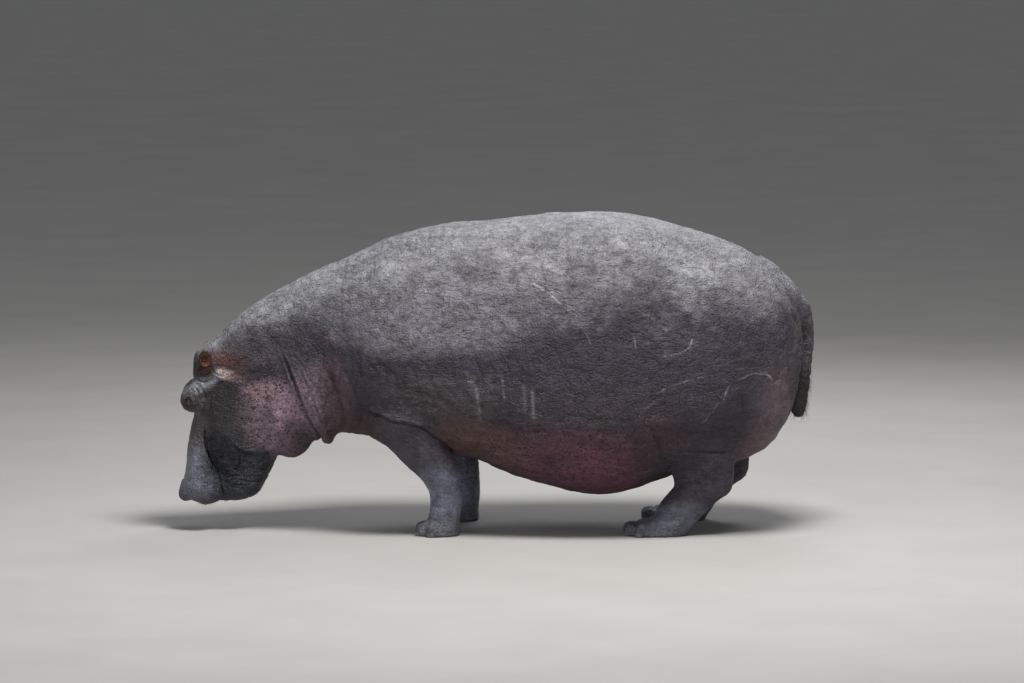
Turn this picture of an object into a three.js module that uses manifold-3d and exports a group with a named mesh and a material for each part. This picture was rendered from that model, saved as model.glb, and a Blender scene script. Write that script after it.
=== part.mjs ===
// A grown hippopotamus standing with its head lowered to the ground, life size.
// Millimetres, +Z up, the floor at z = 0. The head points to -X and the animal's left side to -Y.
//
// The flesh is one smooth closed form: a function of place that is negative inside and close to a
// distance near the skin. Every flesh piece is the part of that form inside its own region, so the
// pieces meet at thin flat cuts. Eyes and toenails are solids of their own, let into the flesh.

import * as THREE from 'three';
import { SimplifyModifier } from 'three/addons/modifiers/SimplifyModifier.js';
import Module from 'manifold-3d';

const wasm = await Module();
wasm.setup();

// ---- Driving dimensions -----------------------------------------------------------------------

const GAP = 0.4;              // width of the thin cuts between pieces
const BELLY_HALF_WIDTH = 596; // half the greatest width of the trunk
const LEG_SPREAD = 285;       // feet centres from the midline
const FAR_FORE_STEP = 88;     // how far the right fore foot stands behind the left one
const FAR_HIND_STEP = 95;     // how far the right hind foot stands behind the left one
const ANKLE_Z = 96;           // level of the cut between leg and foot
const EYE_RADIUS = 25;
const NAIL = { length: 17, width: 20, height: 22, stand: 7, clear: 3, fan: 70 };
const REACH = 4000;           // size of the blocks that cut the flesh, past all of it
const FAR = 1e6;              // a distance past everything
const MIDDLE = 1e-4;          // share of a section's half width that counts as its middle
const TINY = 1e-9;            // a rate of change that counts as none

// How finely each kind of piece is first measured, and about how many facets it then keeps.
const FINE = {
  trunk: { cell: 56, facets: 1500 },
  neck: { cell: 46, facets: 620 },
  head: { cell: 20, facets: 2160 },
  jaw: { cell: 20, facets: 560 },
  leg: { cell: 30, facets: 380 },
  foot: { cell: 17, facets: 190 },
  tail: { cell: 14, facets: 380 },
  ear: { cell: 7, facets: 190 },
};
const ROUND = { eye: { around: 12, rings: 7 }, nail: { around: 7, rings: 4 } };

// Frame of the head: from the crown, "down" runs along the head to the muzzle, "out" points away
// from the forehead. The head hangs almost straight down, its muzzle a little forward.
const CROWN = { x: -1313, z: 881 };
const HEAD_LEAN = 0.1173;     // radians of the muzzle forward of straight down

// Swept forms. Knots of their smooth curves are [place, value]; crown and keel say how square the
// section is above and below its widest level. "from" and "to" are the ends, and the rounding of
// each end is a band of the width that follows it.
const TRUNK = {
  top: [[-790, 1215], [-586, 1376], [-451, 1427], [-218, 1473], [26, 1491], [454, 1523], [785, 1482],
    [1159, 1350], [1366, 1195], [1450, 1080]],
  bottom: [[-790, 500], [-564, 452], [-300, 402], [-113, 342], [65, 262], [295, 190], [463, 166],
    [598, 184], [823, 262], [1000, 335], [1200, 450], [1350, 600], [1450, 800]],
  width: [[-790, 295], [-600, 392], [-400, 460], [-200, 508], [50, 554], [300, 588],
    [470, BELLY_HALF_WIDTH], [650, 588], [850, 554], [1050, 498], [1250, 400], [1380, 288], [1450, 200]],
  level: [[-790, 860], [-400, 800], [0, 700], [400, 640], [800, 680], [1100, 760], [1450, 930]],
  crown: 2.15,
  keel: 2.3,
  from: -790,
  fromRound: 120,
  to: 1430,
  toRound: 150,
};

const NECK = {
  top: [[-1450, 760], [-1410, 852], [-1367, 910], [-1301, 974], [-1210, 1049], [-1135, 1099],
    [-953, 1200], [-830, 1268], [-689, 1316], [-560, 1330]],
  bottom: [[-1450, 680], [-1300, 560], [-1150, 480], [-1000, 440], [-760, 456], [-560, 470]],
  width: [[-1450, 80], [-1350, 138], [-1250, 186], [-1100, 236], [-950, 280], [-800, 318], [-560, 370]],
  level: [[-1450, 720], [-1200, 780], [-950, 780], [-560, 820]],
  crown: 2.2,
  keel: 2.3,
  from: -1440,
  fromRound: 60,
  to: -520,
  toRound: 60,
};

// In the frame of the head: place is "down", top and bottom are "out".
const SKULL = {
  top: [[-50, -10], [0, 85], [55, 138], [133, 139], [200, 124], [300, 114], [400, 118], [500, 123],
    [620, 122], [700, 127], [745, 104], [775, 40]],
  bottom: [[-50, -120], [60, -230], [250, -230], [350, -90], [430, 12], [500, 16], [546, 0], [590, -38],
    [630, -62], [680, -78], [715, -80], [750, -60], [775, -20]],
  width: [[-50, 60], [0, 115], [60, 146], [150, 163], [250, 156], [340, 130], [420, 114], [490, 124],
    [570, 165], [640, 196], [700, 198], [745, 165], [775, 95]],
  level: [[-50, -60], [100, -40], [250, -20], [400, 40], [500, 50], [590, 10], [650, -5], [775, 10]],
  crown: 2.6,
  keel: 2.4,
  from: -60,
  fromRound: 60,
  to: 776,
  toRound: 70,
};

const JAW = {
  top: [[360, 20], [500, 34], [546, 16], [600, -30], [668, -58], [735, -76]],
  bottom: [[360, -330], [480, -318], [568, -288], [638, -262], [690, -236], [720, -196], [738, -150]],
  width: [[360, 185], [480, 178], [560, 170], [640, 168], [690, 152], [720, 118], [738, 80]],
  level: [[360, -150], [738, -130]],
  crown: 2.3,
  keel: 2.6,
  from: 360,
  fromRound: 80,
  to: 740,
  toRound: 60,
};

// The closed mouth is filled inside by the gums, so that only a groove shows between the lips.
const GUMS = {
  top: [[380, 60], [560, 60], [700, 50], [760, 10]],
  bottom: [[380, -220], [560, -220], [680, -190], [760, -110]],
  width: [[380, 150], [470, 112], [600, 142], [690, 140], [745, 88]],
  level: [[380, -70], [760, -60]],
  crown: 2.6,
  keel: 2.6,
  from: 380,
  fromRound: 50,
  to: 745,
  toRound: 50,
};

// Legs run up along z: top is the hind edge, bottom the front edge, width is sideways.
const FORE_LEG = {
  top: [[0, -182], [52, -182], [110, -174], [190, -172], [289, -180], [342, -194], [395, -214],
    [460, -260], [600, -330]],
  bottom: [[0, -386], [30, -378], [60, -345], [134, -327], [192, -331], [231, -348], [274, -377],
    [356, -468], [453, -538], [600, -600]],
  width: [[0, 104], [40, 102], [85, 86], [150, 82], [260, 92], [400, 122], [600, 150]],
  level: [[0, -275], [134, -248], [289, -290], [600, -450]],
  lean: [[0, 0], [250, 6], [600, 40]],
  crown: 2.2,
  keel: 2.2,
  to: 600,
  toRound: 60,
};

const HIND_LEG = {
  top: [[0, 905], [40, 930], [88, 967], [158, 1039], [202, 1099], [245, 1119], [340, 1124], [480, 1130]],
  bottom: [[0, 612], [30, 625], [62, 680], [90, 738], [120, 751], [178, 790], [236, 833], [296, 825],
    [480, 800]],
  width: [[0, 108], [40, 106], [85, 94], [150, 96], [240, 106], [340, 122], [480, 150]],
  level: [[0, 755], [79, 830], [158, 910], [245, 975], [480, 975]],
  lean: [[0, 0], [250, 2], [480, 20]],
  crown: 2.2,
  keel: 2.2,
  to: 480,
  toRound: 60,
};

// Toes of one foot: forward and sideways from the middle of the foot's front, and size.
const TOES = [
  { forward: 2, side: -36, radius: 37 },
  { forward: 2, side: 36, radius: 37 },
  { forward: -44, side: -84, radius: 32 },
  { forward: -44, side: 84, radius: 32 },
];
const TOE = { level: 24, height: 40, stretch: 1.1 };
const FORE_FOOT_FRONT = -352;
const HIND_FOOT_FRONT = 640;

// The tail hangs behind the rump, its root a ridge that fades into the back: places of its middle
// line [z, x] and its half widths [z, size].
const TAIL = {
  middle: [[525, 1440], [616, 1445], [737, 1463], [857, 1474], [954, 1472], [1060, 1440], [1150, 1376],
    [1240, 1280]],
  deep: [[515, 5], [530, 15], [560, 28], [616, 36], [737, 41], [857, 43], [954, 46], [1060, 56], [1150, 58],
    [1240, 40]],
  wide: [[525, 9], [560, 17], [737, 33], [857, 43], [954, 55], [1060, 72], [1150, 74], [1240, 50]],
  melt: [[930, 18], [1010, 78], [1090, 138]],
  from: 522,
  fromRound: 34,
  to: 1240,
  toRound: 60,
};

// Round masses that swell the body: the middle, the half sizes, the width of the band over which
// each melts into the rest, and its turn about the sideways axis in radians. The middles are
// [x, side, z] on the body and [down, side, out] on the head.
const SHOULDER = { at: [-430, 268, 815], size: [270, 195, 405], melt: 170, turn: 0 };
const HAUNCH = { at: [1125, 205, 800], size: [308, 272, 450], melt: 150, turn: 0 };
const NECK_ROLL = { at: [-905, 60, 680], size: [92, 238, 290], melt: 40, turn: 0.36 };
const JOWL = { at: [-1035, 95, 590], size: [150, 150, 250], melt: 40, turn: 0.3 };
const FACE = [
  { name: 'cheek', at: [300, 92, -150], size: [204, 136, 190], melt: 70, turn: 0 },
  { name: 'orbit', at: [272, 108, 105], size: [62, 54, 74], melt: 24, turn: 0 },
  { name: 'brow', at: [198, 118, 90], size: [34, 36, 88], melt: 40, turn: -0.57 },
  { name: 'ear root', at: [130, 120, 78], size: [52, 34, 36], melt: 30, turn: 0 },
  { name: 'nostril', at: [720, 78, 104], size: [44, 42, 32], melt: 34, turn: 0 },
];

// Widths of the bands over which the swept forms melt into each other.
const MELT = { neck: 70, head: 46, lips: 14, gums: 10, toes: 30, leg: 34, ear: 12 };

// Cuts between pieces: a place on each, and the way its far side lies, as [x, z].
const HEAD_CUT = { x: -996, z: 771, toward: [-0.924, -0.385] };
const NECK_CUT = { x: -640, z: 890, toward: [-0.994, -0.112] };
const ELBOW_CUT = { x: -380, z: 480, toward: [-0.413, -0.911] };
const JAW_CUT = { down: 470, out: 0, toward: [1, 0] };
const MOUTH_CUT = { down: 546, out: 2, toward: [-0.447, -0.894] };

const EYE = { down: 275, out: 130, side: 139 };
const EAR = {
  down: 70, out: 81, side: 141, length: 63, thick: 27, deep: 35, splay: 0.45,
  dish: { at: [-20, 28, -1], size: [36, 28, 24], round: 8 },
};

// ---- Smooth curves and forms ------------------------------------------------------------------

/** A smooth curve through [place, value] knots, level beyond its ends. */
function curve(knots) {
  const last = knots.length - 1;
  const slope = knots.map((_, i) => {
    const [x0, v0] = knots[Math.max(i - 1, 0)];
    const [x1, v1] = knots[Math.min(i + 1, last)];
    return (v1 - v0) / (x1 - x0);
  });
  return (x) => {
    if (x <= knots[0][0]) return knots[0][1];
    if (x >= knots[last][0]) return knots[last][1];
    let i = 0;
    while (x > knots[i + 1][0]) i++;
    const span = knots[i + 1][0] - knots[i][0];
    const t = (x - knots[i][0]) / span;
    const rest = 1 - t;
    return rest * rest * (1 + 2 * t) * knots[i][1] + t * t * (3 - 2 * t) * knots[i + 1][1]
      + span * t * rest * (rest * slope[i] - t * slope[i + 1]);
  };
}

/** A swept form with its knots made into curves. */
function sweep(form) {
  const curves = {};
  for (const [name, value] of Object.entries(form)) curves[name] = Array.isArray(value) ? curve(value) : value;
  return curves;
}

const trunk = sweep(TRUNK);
const neck = sweep(NECK);
const skull = sweep(SKULL);
const jaw = sweep(JAW);
const gums = sweep(GUMS);
const foreLeg = sweep(FORE_LEG);
const hindLeg = sweep(HIND_LEG);
const tail = sweep(TAIL);

/** The lesser of two distances, melted together over a band of width k. */
function join(a, b, k) {
  const h = Math.max(k - Math.abs(a - b), 0) / k;
  return Math.min(a, b) - h * h * k / 4;
}

/** The greater of two distances, rounded over a band of width k. */
function trim(a, b, k) {
  return -join(-a, -b, k);
}

/** Distance to a swept form of endless length, measured in the section at "along". */
function section(form, along, across, up) {
  const level = form.level(along);
  const above = up > level;
  const height = above ? form.top(along) - level : level - form.bottom(along);
  const power = above ? form.crown : form.keel;
  const width = form.width(along);
  const share = Math.pow(
    Math.pow(Math.abs(across) / width, power) + Math.pow(Math.abs(up - level) / height, power), 1 / power);
  if (share < MIDDLE) return -Math.min(width, height);
  return Math.hypot(across, up - level) * (1 - 1 / share);
}

/** The same, rounded off at its ends; a form without a "from" goes on past its lower end. */
function swept(form, along, across, up) {
  return ended(form, along, section(form, along, across, up));
}

/** A distance to an endless form, rounded off at the form's ends. */
function ended(form, along, d) {
  const near = form.from === undefined ? d : trim(d, form.from - along, form.fromRound);
  return trim(near, along - form.to, form.toRound);
}

/** Distance to an ellipsoid; dx, dy, dz from its middle. */
function egg(dx, dy, dz, rx, ry, rz) {
  const near = Math.hypot(dx / rx, dy / ry, dz / rz);
  const steep = Math.hypot(dx / (rx * rx), dy / (ry * ry), dz / (rz * rz));
  return steep < TINY ? -Math.min(rx, ry, rz) : near * (near - 1) / steep;
}

/** A distance with a round mass melted into it. */
function swollen(d, mass, along, side, up) {
  const c = Math.cos(mass.turn);
  const s = Math.sin(mass.turn);
  const dx = along - mass.at[0];
  const dz = up - mass.at[2];
  return join(d, egg(c * dx + s * dz, side - mass.at[1], c * dz - s * dx, ...mass.size), mass.melt);
}

// ---- The flesh --------------------------------------------------------------------------------

/** Trunk with its shoulders and haunches. */
function trunkForm(x, side, z) {
  return swollen(swollen(swept(trunk, x, side, z), SHOULDER, x, side, z), HAUNCH, x, side, z);
}

/** Neck and the roll of skin behind the cheeks. */
function neckForm(x, side, z) {
  return swollen(swept(neck, x, side, z), NECK_ROLL, x, side, z);
}

/** Head, in its own frame: along "down" and away from the forehead "out". */
function headForm(down, side, out) {
  const lips = join(swept(skull, down, side, out), swept(jaw, down, side, out), MELT.lips);
  const closed = join(lips, swept(gums, down, side, out), MELT.gums);
  return FACE.reduce((d, mass) => swollen(d, mass, down, side, out), closed);
}

/** One ear: a small leaf, dished on its outer face and splayed outward at its tip. */
function earForm(down, side, out) {
  const c = Math.cos(EAR.splay);
  const s = Math.sin(EAR.splay);
  const along = c * (down - EAR.down) - s * (side - EAR.side);
  const through = s * (down - EAR.down) + c * (side - EAR.side);
  const deep = out - EAR.out;
  const leaf = egg(along, through, deep, EAR.length, EAR.thick, EAR.deep);
  const { at, size, round } = EAR.dish;
  return trim(leaf, -egg(along - at[0], through - at[1], deep - at[2], ...size), round);
}

/** One leg with its toes; "side" is measured from the midline outward. */
function legForm(form, front, x, side, z) {
  const column = swept(form, z, side - LEG_SPREAD - form.lean(z), x);
  const toes = TOES.map((toe) => egg(x - front + toe.forward, side - LEG_SPREAD - toe.side, z - TOE.level,
    toe.radius * TOE.stretch, toe.radius, TOE.height));
  return join(column, Math.min(...toes), MELT.toes);
}

/** The tail, flat and upright. */
function tailForm(x, y, z) {
  return ended(tail, z, egg(x - tail.middle(z), y, 0, tail.deep(z), tail.wide(z), FAR));
}

/** The whole body, negative inside. */
function flesh(x, y, z) {
  const side = Math.abs(y);
  const foreX = y > 0 ? x - FAR_FORE_STEP : x;
  const hindX = y > 0 ? x - FAR_HIND_STEP : x;
  const dx = x - CROWN.x;
  const dz = z - CROWN.z;
  const down = -Math.sin(HEAD_LEAN) * dx - Math.cos(HEAD_LEAN) * dz;
  const out = -Math.cos(HEAD_LEAN) * dx + Math.sin(HEAD_LEAN) * dz;

  let d = join(trunkForm(x, side, z), neckForm(x, side, z), MELT.neck);
  d = join(d, swollen(headForm(down, side, out), JOWL, x, side, z), MELT.head);
  d = join(d, legForm(foreLeg, FORE_FOOT_FRONT, foreX, side, z), MELT.leg);
  d = join(d, legForm(hindLeg, HIND_FOOT_FRONT, hindX, side, z), MELT.leg);
  d = join(d, tailForm(x, y, z), tail.melt(z));
  d = join(d, earForm(down, side, out), MELT.ear);
  return Math.max(d, -z);
}

// ---- Surfaces ---------------------------------------------------------------------------------

/** Distance outside a box given by its low and high corners. */
function outside(box, p) {
  return Math.max(box.low[0] - p[0], p[0] - box.high[0], box.low[1] - p[1], p[1] - box.high[1],
    box.low[2] - p[2], p[2] - box.high[2]);
}

// Corners of a grid cell by number, and the pairs of corners that its edges join.
const CORNERS = [...Array(8).keys()].map((n) => [n & 1, (n >> 1) & 1, n >> 2]);
const EDGES = [[0, 1], [2, 3], [4, 5], [6, 7], [0, 2], [1, 3], [4, 6], [5, 7], [0, 4], [1, 5], [2, 6], [3, 7]];
const GROUP_ROUNDS = 4;       // passes that carry a group's number to every corner joined to it
const SPARE_CELLS = 2.5;      // cells of the grid past its box on each side
const SHIFT = 0.07;           // share of a cell by which the grid moves before another try
const SETTLE = { rounds: 4, step: 0.5, flat: 0.36, reach: 0.3 };

/** For each corner of a cell, the lowest inner corner that it is joined to along inner edges. */
function innerGroups(inner) {
  const group = inner.map((is, n) => (is ? n : -1));
  for (let round = 0; round < GROUP_ROUNDS; round++) {
    for (const [a, b] of EDGES) {
      if (inner[a] && inner[b]) group[a] = group[b] = Math.min(group[a], group[b]);
    }
  }
  return group;
}

/** Closed surface of the flesh within a box, in cells of the given size, as points and triangles. */
function netSurface(box, cell, shift) {
  const start = box.low.map((v) => v - cell * (SPARE_CELLS + shift));
  const count = box.high.map((v, n) => Math.ceil((v - start[n]) / cell + SPARE_CELLS));
  const wall = grown(box, cell);
  const field = (p) => Math.max(flesh(p[0], p[1], p[2]), outside(wall, p));
  const index = (i, j, k) => (k * count[1] + j) * count[0] + i;
  const values = new Float64Array(count[0] * count[1] * count[2]);
  for (let k = 0; k < count[2]; k++) {
    for (let j = 0; j < count[1]; j++) {
      for (let i = 0; i < count[0]; i++) {
        values[index(i, j, k)] = field([start[0] + i * cell, start[1] + j * cell, start[2] + k * cell]);
      }
    }
  }

  const vertexOf = new Map();
  const points = [];
  for (let k = 0; k + 1 < count[2]; k++) {
    for (let j = 0; j + 1 < count[1]; j++) {
      for (let i = 0; i + 1 < count[0]; i++) {
        const value = CORNERS.map((c) => values[index(i + c[0], j + c[1], k + c[2])]);
        const group = innerGroups(value.map((v) => v < 0));
        const sums = new Map();
        for (const [a, b] of EDGES) {
          if (value[a] < 0 === value[b] < 0) continue;
          const owner = value[a] < 0 ? group[a] : group[b];
          if (!sums.has(owner)) sums.set(owner, [0, 0, 0, 0]);
          const sum = sums.get(owner);
          const t = value[a] / (value[a] - value[b]);
          for (let n = 0; n < 3; n++) sum[n] += CORNERS[a][n] + t * (CORNERS[b][n] - CORNERS[a][n]);
          sum[3]++;
        }
        for (const [owner, sum] of sums) {
          group.forEach((g, n) => {
            if (g === owner) vertexOf.set(index(i, j, k) * CORNERS.length + n, points.length);
          });
          points.push([i, j, k].map((v, n) => start[n] + cell * (v + sum[n] / sum[3])));
        }
      }
    }
  }
  for (const p of points) settle(p, field, cell);

  const triangles = [];
  // The four cells round a grid edge, as steps back on the other two axes, counterclockwise.
  const ring = [[1, 1], [0, 1], [0, 0], [1, 0]];
  for (let k = 1; k + 1 < count[2]; k++) {
    for (let j = 1; j + 1 < count[1]; j++) {
      for (let i = 1; i + 1 < count[0]; i++) {
        const node = [i, j, k];
        const here = values[index(i, j, k)] < 0;
        for (let axis = 0; axis < 3; axis++) {
          const next = node.map((v, n) => v + (n === axis ? 1 : 0));
          if (here === values[index(...next)] < 0) continue;
          const innerNode = here ? node : next;
          const [u, v] = [(axis + 1) % 3, (axis + 2) % 3];
          const loop = ring.map(([backU, backV]) => {
            const c = [...node];
            c[u] -= backU;
            c[v] -= backV;
            const local = innerNode[0] - c[0] + 2 * (innerNode[1] - c[1]) + 4 * (innerNode[2] - c[2]);
            return vertexOf.get(index(...c) * CORNERS.length + local);
          });
          const [p, q, r, s] = here ? loop : loop.reverse();
          if (distance(points[p], points[r]) < distance(points[q], points[s])) triangles.push(p, q, r, p, r, s);
          else triangles.push(q, r, s, q, s, p);
        }
      }
    }
  }
  return { points, triangles };
}

/** Whether every edge of a surface is run once each way. */
function isClosed(triangles) {
  const runs = new Set();
  for (let t = 0; t < triangles.length; t += 3) {
    for (let n = 0; n < 3; n++) {
      const run = `${triangles[t + n]},${triangles[t + (n + 1) % 3]}`;
      if (runs.has(run)) return false;
      runs.add(run);
    }
  }
  return [...runs].every((run) => runs.has(run.split(',').reverse().join()));
}

/** The flesh within a box as a solid of about the wanted facets, finest where it curves most. */
async function skinMesh(box, { cell, facets }) {
  for (let shift = 0; shift < 1; shift += SHIFT) {
    const { points, triangles } = netSurface(box, cell, shift);
    if (!isClosed(triangles)) continue;
    const fine = new THREE.BufferGeometry();
    fine.setAttribute('position', new THREE.Float32BufferAttribute(points.flat(), 3));
    fine.setIndex(triangles);
    const spare = Math.round(points.length * (1 - facets * 3 / triangles.length));
    const thin = spare > 0 ? await new SimplifyModifier().modify(fine, spare) : fine;
    const kept = thin.getIndex().array;
    if (isClosed(kept)) return solid(thin.getAttribute('position').array, kept);
  }
  throw new Error('the flesh touches itself in this box');
}

/** Moves a point onto the surface of a field, no farther than a share of a cell. */
function settle(p, field, cell) {
  const from = [...p];
  for (let round = 0; round < SETTLE.rounds; round++) {
    const value = field(p);
    const slope = [0, 1, 2].map((n) => {
      const q = [...p];
      q[n] += SETTLE.step;
      return (field(q) - value) / SETTLE.step;
    });
    const steep = slope[0] ** 2 + slope[1] ** 2 + slope[2] ** 2;
    if (steep < SETTLE.flat) return;
    for (let n = 0; n < 3; n++) p[n] -= value * slope[n] / steep;
  }
  const share = cell * SETTLE.reach / distance(p, from);
  if (share < 1) p.forEach((v, n) => { p[n] = from[n] + (v - from[n]) * share; });
}

/** A solid from vertex numbers and triangles. */
function solid(vertices, triangles) {
  return new wasm.Manifold(new wasm.Mesh({
    numProp: 3, vertProperties: new Float32Array(vertices), triVerts: new Uint32Array(triangles),
  }));
}

/** A solid from a closed three.js geometry, its shared vertices joined. */
function solidOf(geometry) {
  const place = geometry.getAttribute('position');
  const seen = new Map();
  const vertices = [];
  const renumber = [];
  for (let i = 0; i < place.count; i++) {
    const p = [place.getX(i), place.getY(i), place.getZ(i)];
    const key = p.map((v) => v.toFixed(3)).join();
    if (!seen.has(key)) {
      seen.set(key, vertices.length / 3);
      vertices.push(...p);
    }
    renumber.push(seen.get(key));
  }
  const index = geometry.getIndex().array;
  const triangles = [];
  for (let i = 0; i < index.length; i += 3) {
    const t = [renumber[index[i]], renumber[index[i + 1]], renumber[index[i + 2]]];
    if (t[0] !== t[1] && t[1] !== t[2] && t[2] !== t[0]) triangles.push(...t);
  }
  return solid(vertices, triangles);
}

/** A box given by its reach on each axis. */
function span(x, y, z) {
  return { low: [x[0], y[0], z[0]], high: [x[1], y[1], z[1]] };
}

/** A box with every face moved outward. */
function grown(box, by) {
  return { low: box.low.map((v) => v - by), high: box.high.map((v) => v + by) };
}

/** A box of the left side, or its copy on the right side set back by "step". */
function onSide(box, sign, step) {
  if (sign < 0) return box;
  return span([box.low[0] + step, box.high[0] + step], [-box.high[1], -box.low[1]], [box.low[2], box.high[2]]);
}

/** A box as a solid. */
function boxSolid(box) {
  const size = box.high.map((v, n) => v - box.low[n]);
  const geometry = new THREE.BoxGeometry(...size);
  geometry.translate(...box.low.map((v, n) => v + size[n] / 2));
  return solidOf(geometry);
}

/** Everything past a cut, starting "inset" beyond it; "step" moves the cut along the body. */
function beyond(cut, inset, step = 0) {
  const geometry = new THREE.BoxGeometry(REACH, REACH, REACH);
  geometry.translate(REACH / 2 + inset, 0, 0);
  geometry.rotateY(Math.atan2(-cut.toward[1], cut.toward[0]));
  geometry.translate(cut.x + step, 0, cut.z);
  return solidOf(geometry);
}

/** Place in the body of a point given in the frame of the head. */
function fromHead(down, side, out) {
  const s = Math.sin(HEAD_LEAN);
  const c = Math.cos(HEAD_LEAN);
  return [CROWN.x - s * down - c * out, side, CROWN.z - c * down + s * out];
}

/** A cut given in the frame of the head, in the frame of the body. */
function headCut(cut) {
  const [x, , z] = fromHead(cut.down, 0, cut.out);
  const [tipX, , tipZ] = fromHead(cut.down + cut.toward[0], 0, cut.out + cut.toward[1]);
  return { x, z, toward: [tipX - x, tipZ - z] };
}

/** A round solid with the given half sizes, turned about the upright axis. */
function roundSolid(at, radii, turn, { around, rings }) {
  const geometry = new THREE.SphereGeometry(1, around, rings);
  geometry.rotateX(Math.PI / 2);
  geometry.scale(...radii);
  geometry.rotateZ(turn);
  geometry.translate(...at);
  return solidOf(geometry);
}

/** The solid without the crumbs that a cut may leave beside it. */
function largest(shape) {
  return shape.decompose().reduce((a, b) => (a.volume() > b.volume() ? a : b));
}

// ---- Pieces -----------------------------------------------------------------------------------

const half = GAP / 2;
const SIDES = { left: -1, right: 1 };
const LEGS = {
  fore: {
    front: FORE_FOOT_FRONT,
    step: FAR_FORE_STEP,
    foot: span([-480, -110], [-460, -118], [-10, ANKLE_Z]),
    leg: [span([-588, -150], [-520, -118], [ANKLE_Z, 640])],
    cut: ELBOW_CUT,
  },
  hind: {
    front: HIND_FOOT_FRONT,
    step: FAR_HIND_STEP,
    foot: span([540, 1040], [-460, -100], [-10, ANKLE_Z]),
    leg: [span([700, 1270], [-530, -100], [ANKLE_Z, 201]), span([812, 1270], [-530, -100], [200, 412])],
  },
};
const TAIL_BOX = span([1424, 1620], [-95, 95], [490, 1012]);
const EAR_BOX = span([-1520, -1360], [-280, -128], [770, 950]);
const NECK_BOX = span([-1300, -520], [-560, 560], [330, 1400]);
const TRUNK_BOX = span([-780, 1500], [-700, 700], [120, 1580]);
const HEAD_BOX = span([-1560, -840], [-420, 420], [60, 1160]);
const JAW_BOX = span([-1500, -950], [-300, 300], [60, 480]);

const FINISH = {
  back: { color: 0x77706f, roughness: 0.82 },
  neck: { color: 0x6b6265, roughness: 0.78 },
  head: { color: 0x6d5a5f, roughness: 0.7 },
  jaw: { color: 0x50555f, roughness: 0.5 },
  ear: { color: 0x7a4a3d, roughness: 0.7 },
  leg: { color: 0x5c626b, roughness: 0.6 },
  tail: { color: 0x4a4442, roughness: 0.8 },
  eye: { color: 0x2a1a12, roughness: 0.12 },
  nail: { color: 0x6f7477, roughness: 0.5 },
};

/** Distance between two points. */
function distance(p, q) {
  return Math.hypot(p[0] - q[0], p[1] - q[1], p[2] - q[2]);
}

/** An eyeball, or with a margin the socket that holds it. */
function eyeball(sign, margin) {
  const radius = EYE_RADIUS + margin;
  return roundSolid(fromHead(EYE.down, sign * EYE.side, EYE.out), [radius, radius, radius], 0, ROUND.eye);
}

/** One toenail, or with a margin the bed that holds it. */
function nail(toe, front, sign, step, margin) {
  const turn = Math.atan2(sign * toe.side, NAIL.fan);
  const reach = toe.radius - NAIL.length + NAIL.stand;
  const at = [
    front - toe.forward + step - reach * Math.cos(turn),
    sign * LEG_SPREAD + sign * toe.side + reach * Math.sin(turn),
    NAIL.height + NAIL.clear,
  ];
  return roundSolid(at, [NAIL.length, NAIL.width, NAIL.height].map((v) => v + margin), -turn, ROUND.nail);
}

/** The region of one leg above its foot, "margin" larger all round. */
function legRegion(plan, sign, margin) {
  const step = sign < 0 ? 0 : plan.step;
  const blocks = plan.leg.map((box) => boxSolid(grown(onSide(box, sign, plan.step), margin)));
  const region = blocks.reduce((a, b) => a.add(b));
  return plan.cut ? region.intersect(beyond(plan.cut, -margin, step)) : region;
}

/** The solids of one leg: the leg, its foot and its four nails. */
async function legPieces(name, plan, place, sign) {
  const step = sign < 0 ? 0 : plan.step;
  const reach = plan.leg.reduce((box, next) => ({
    low: box.low.map((v, n) => Math.min(v, next.low[n])),
    high: box.high.map((v, n) => Math.max(v, next.high[n])),
  }));
  const upper = await skinMesh(onSide(reach, sign, plan.step), FINE.leg);
  const leg = upper.intersect(legRegion(plan, sign, -half));
  const footBox = onSide(plan.foot, sign, plan.step);
  let foot = (await skinMesh(footBox, FINE.foot)).intersect(boxSolid(grown(footBox, -half)));
  const pieces = [[`${name}_leg_${place}`, largest(leg), 'leg']];
  TOES.forEach((toe, n) => {
    foot = foot.subtract(nail(toe, plan.front, sign, step, half));
    pieces.push([`${name}_nail_${place}_${n + 1}`, nail(toe, plan.front, sign, step, 0), 'nail']);
  });
  pieces.push([`${name}_foot_${place}`, largest(foot), 'leg']);
  return pieces;
}

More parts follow.
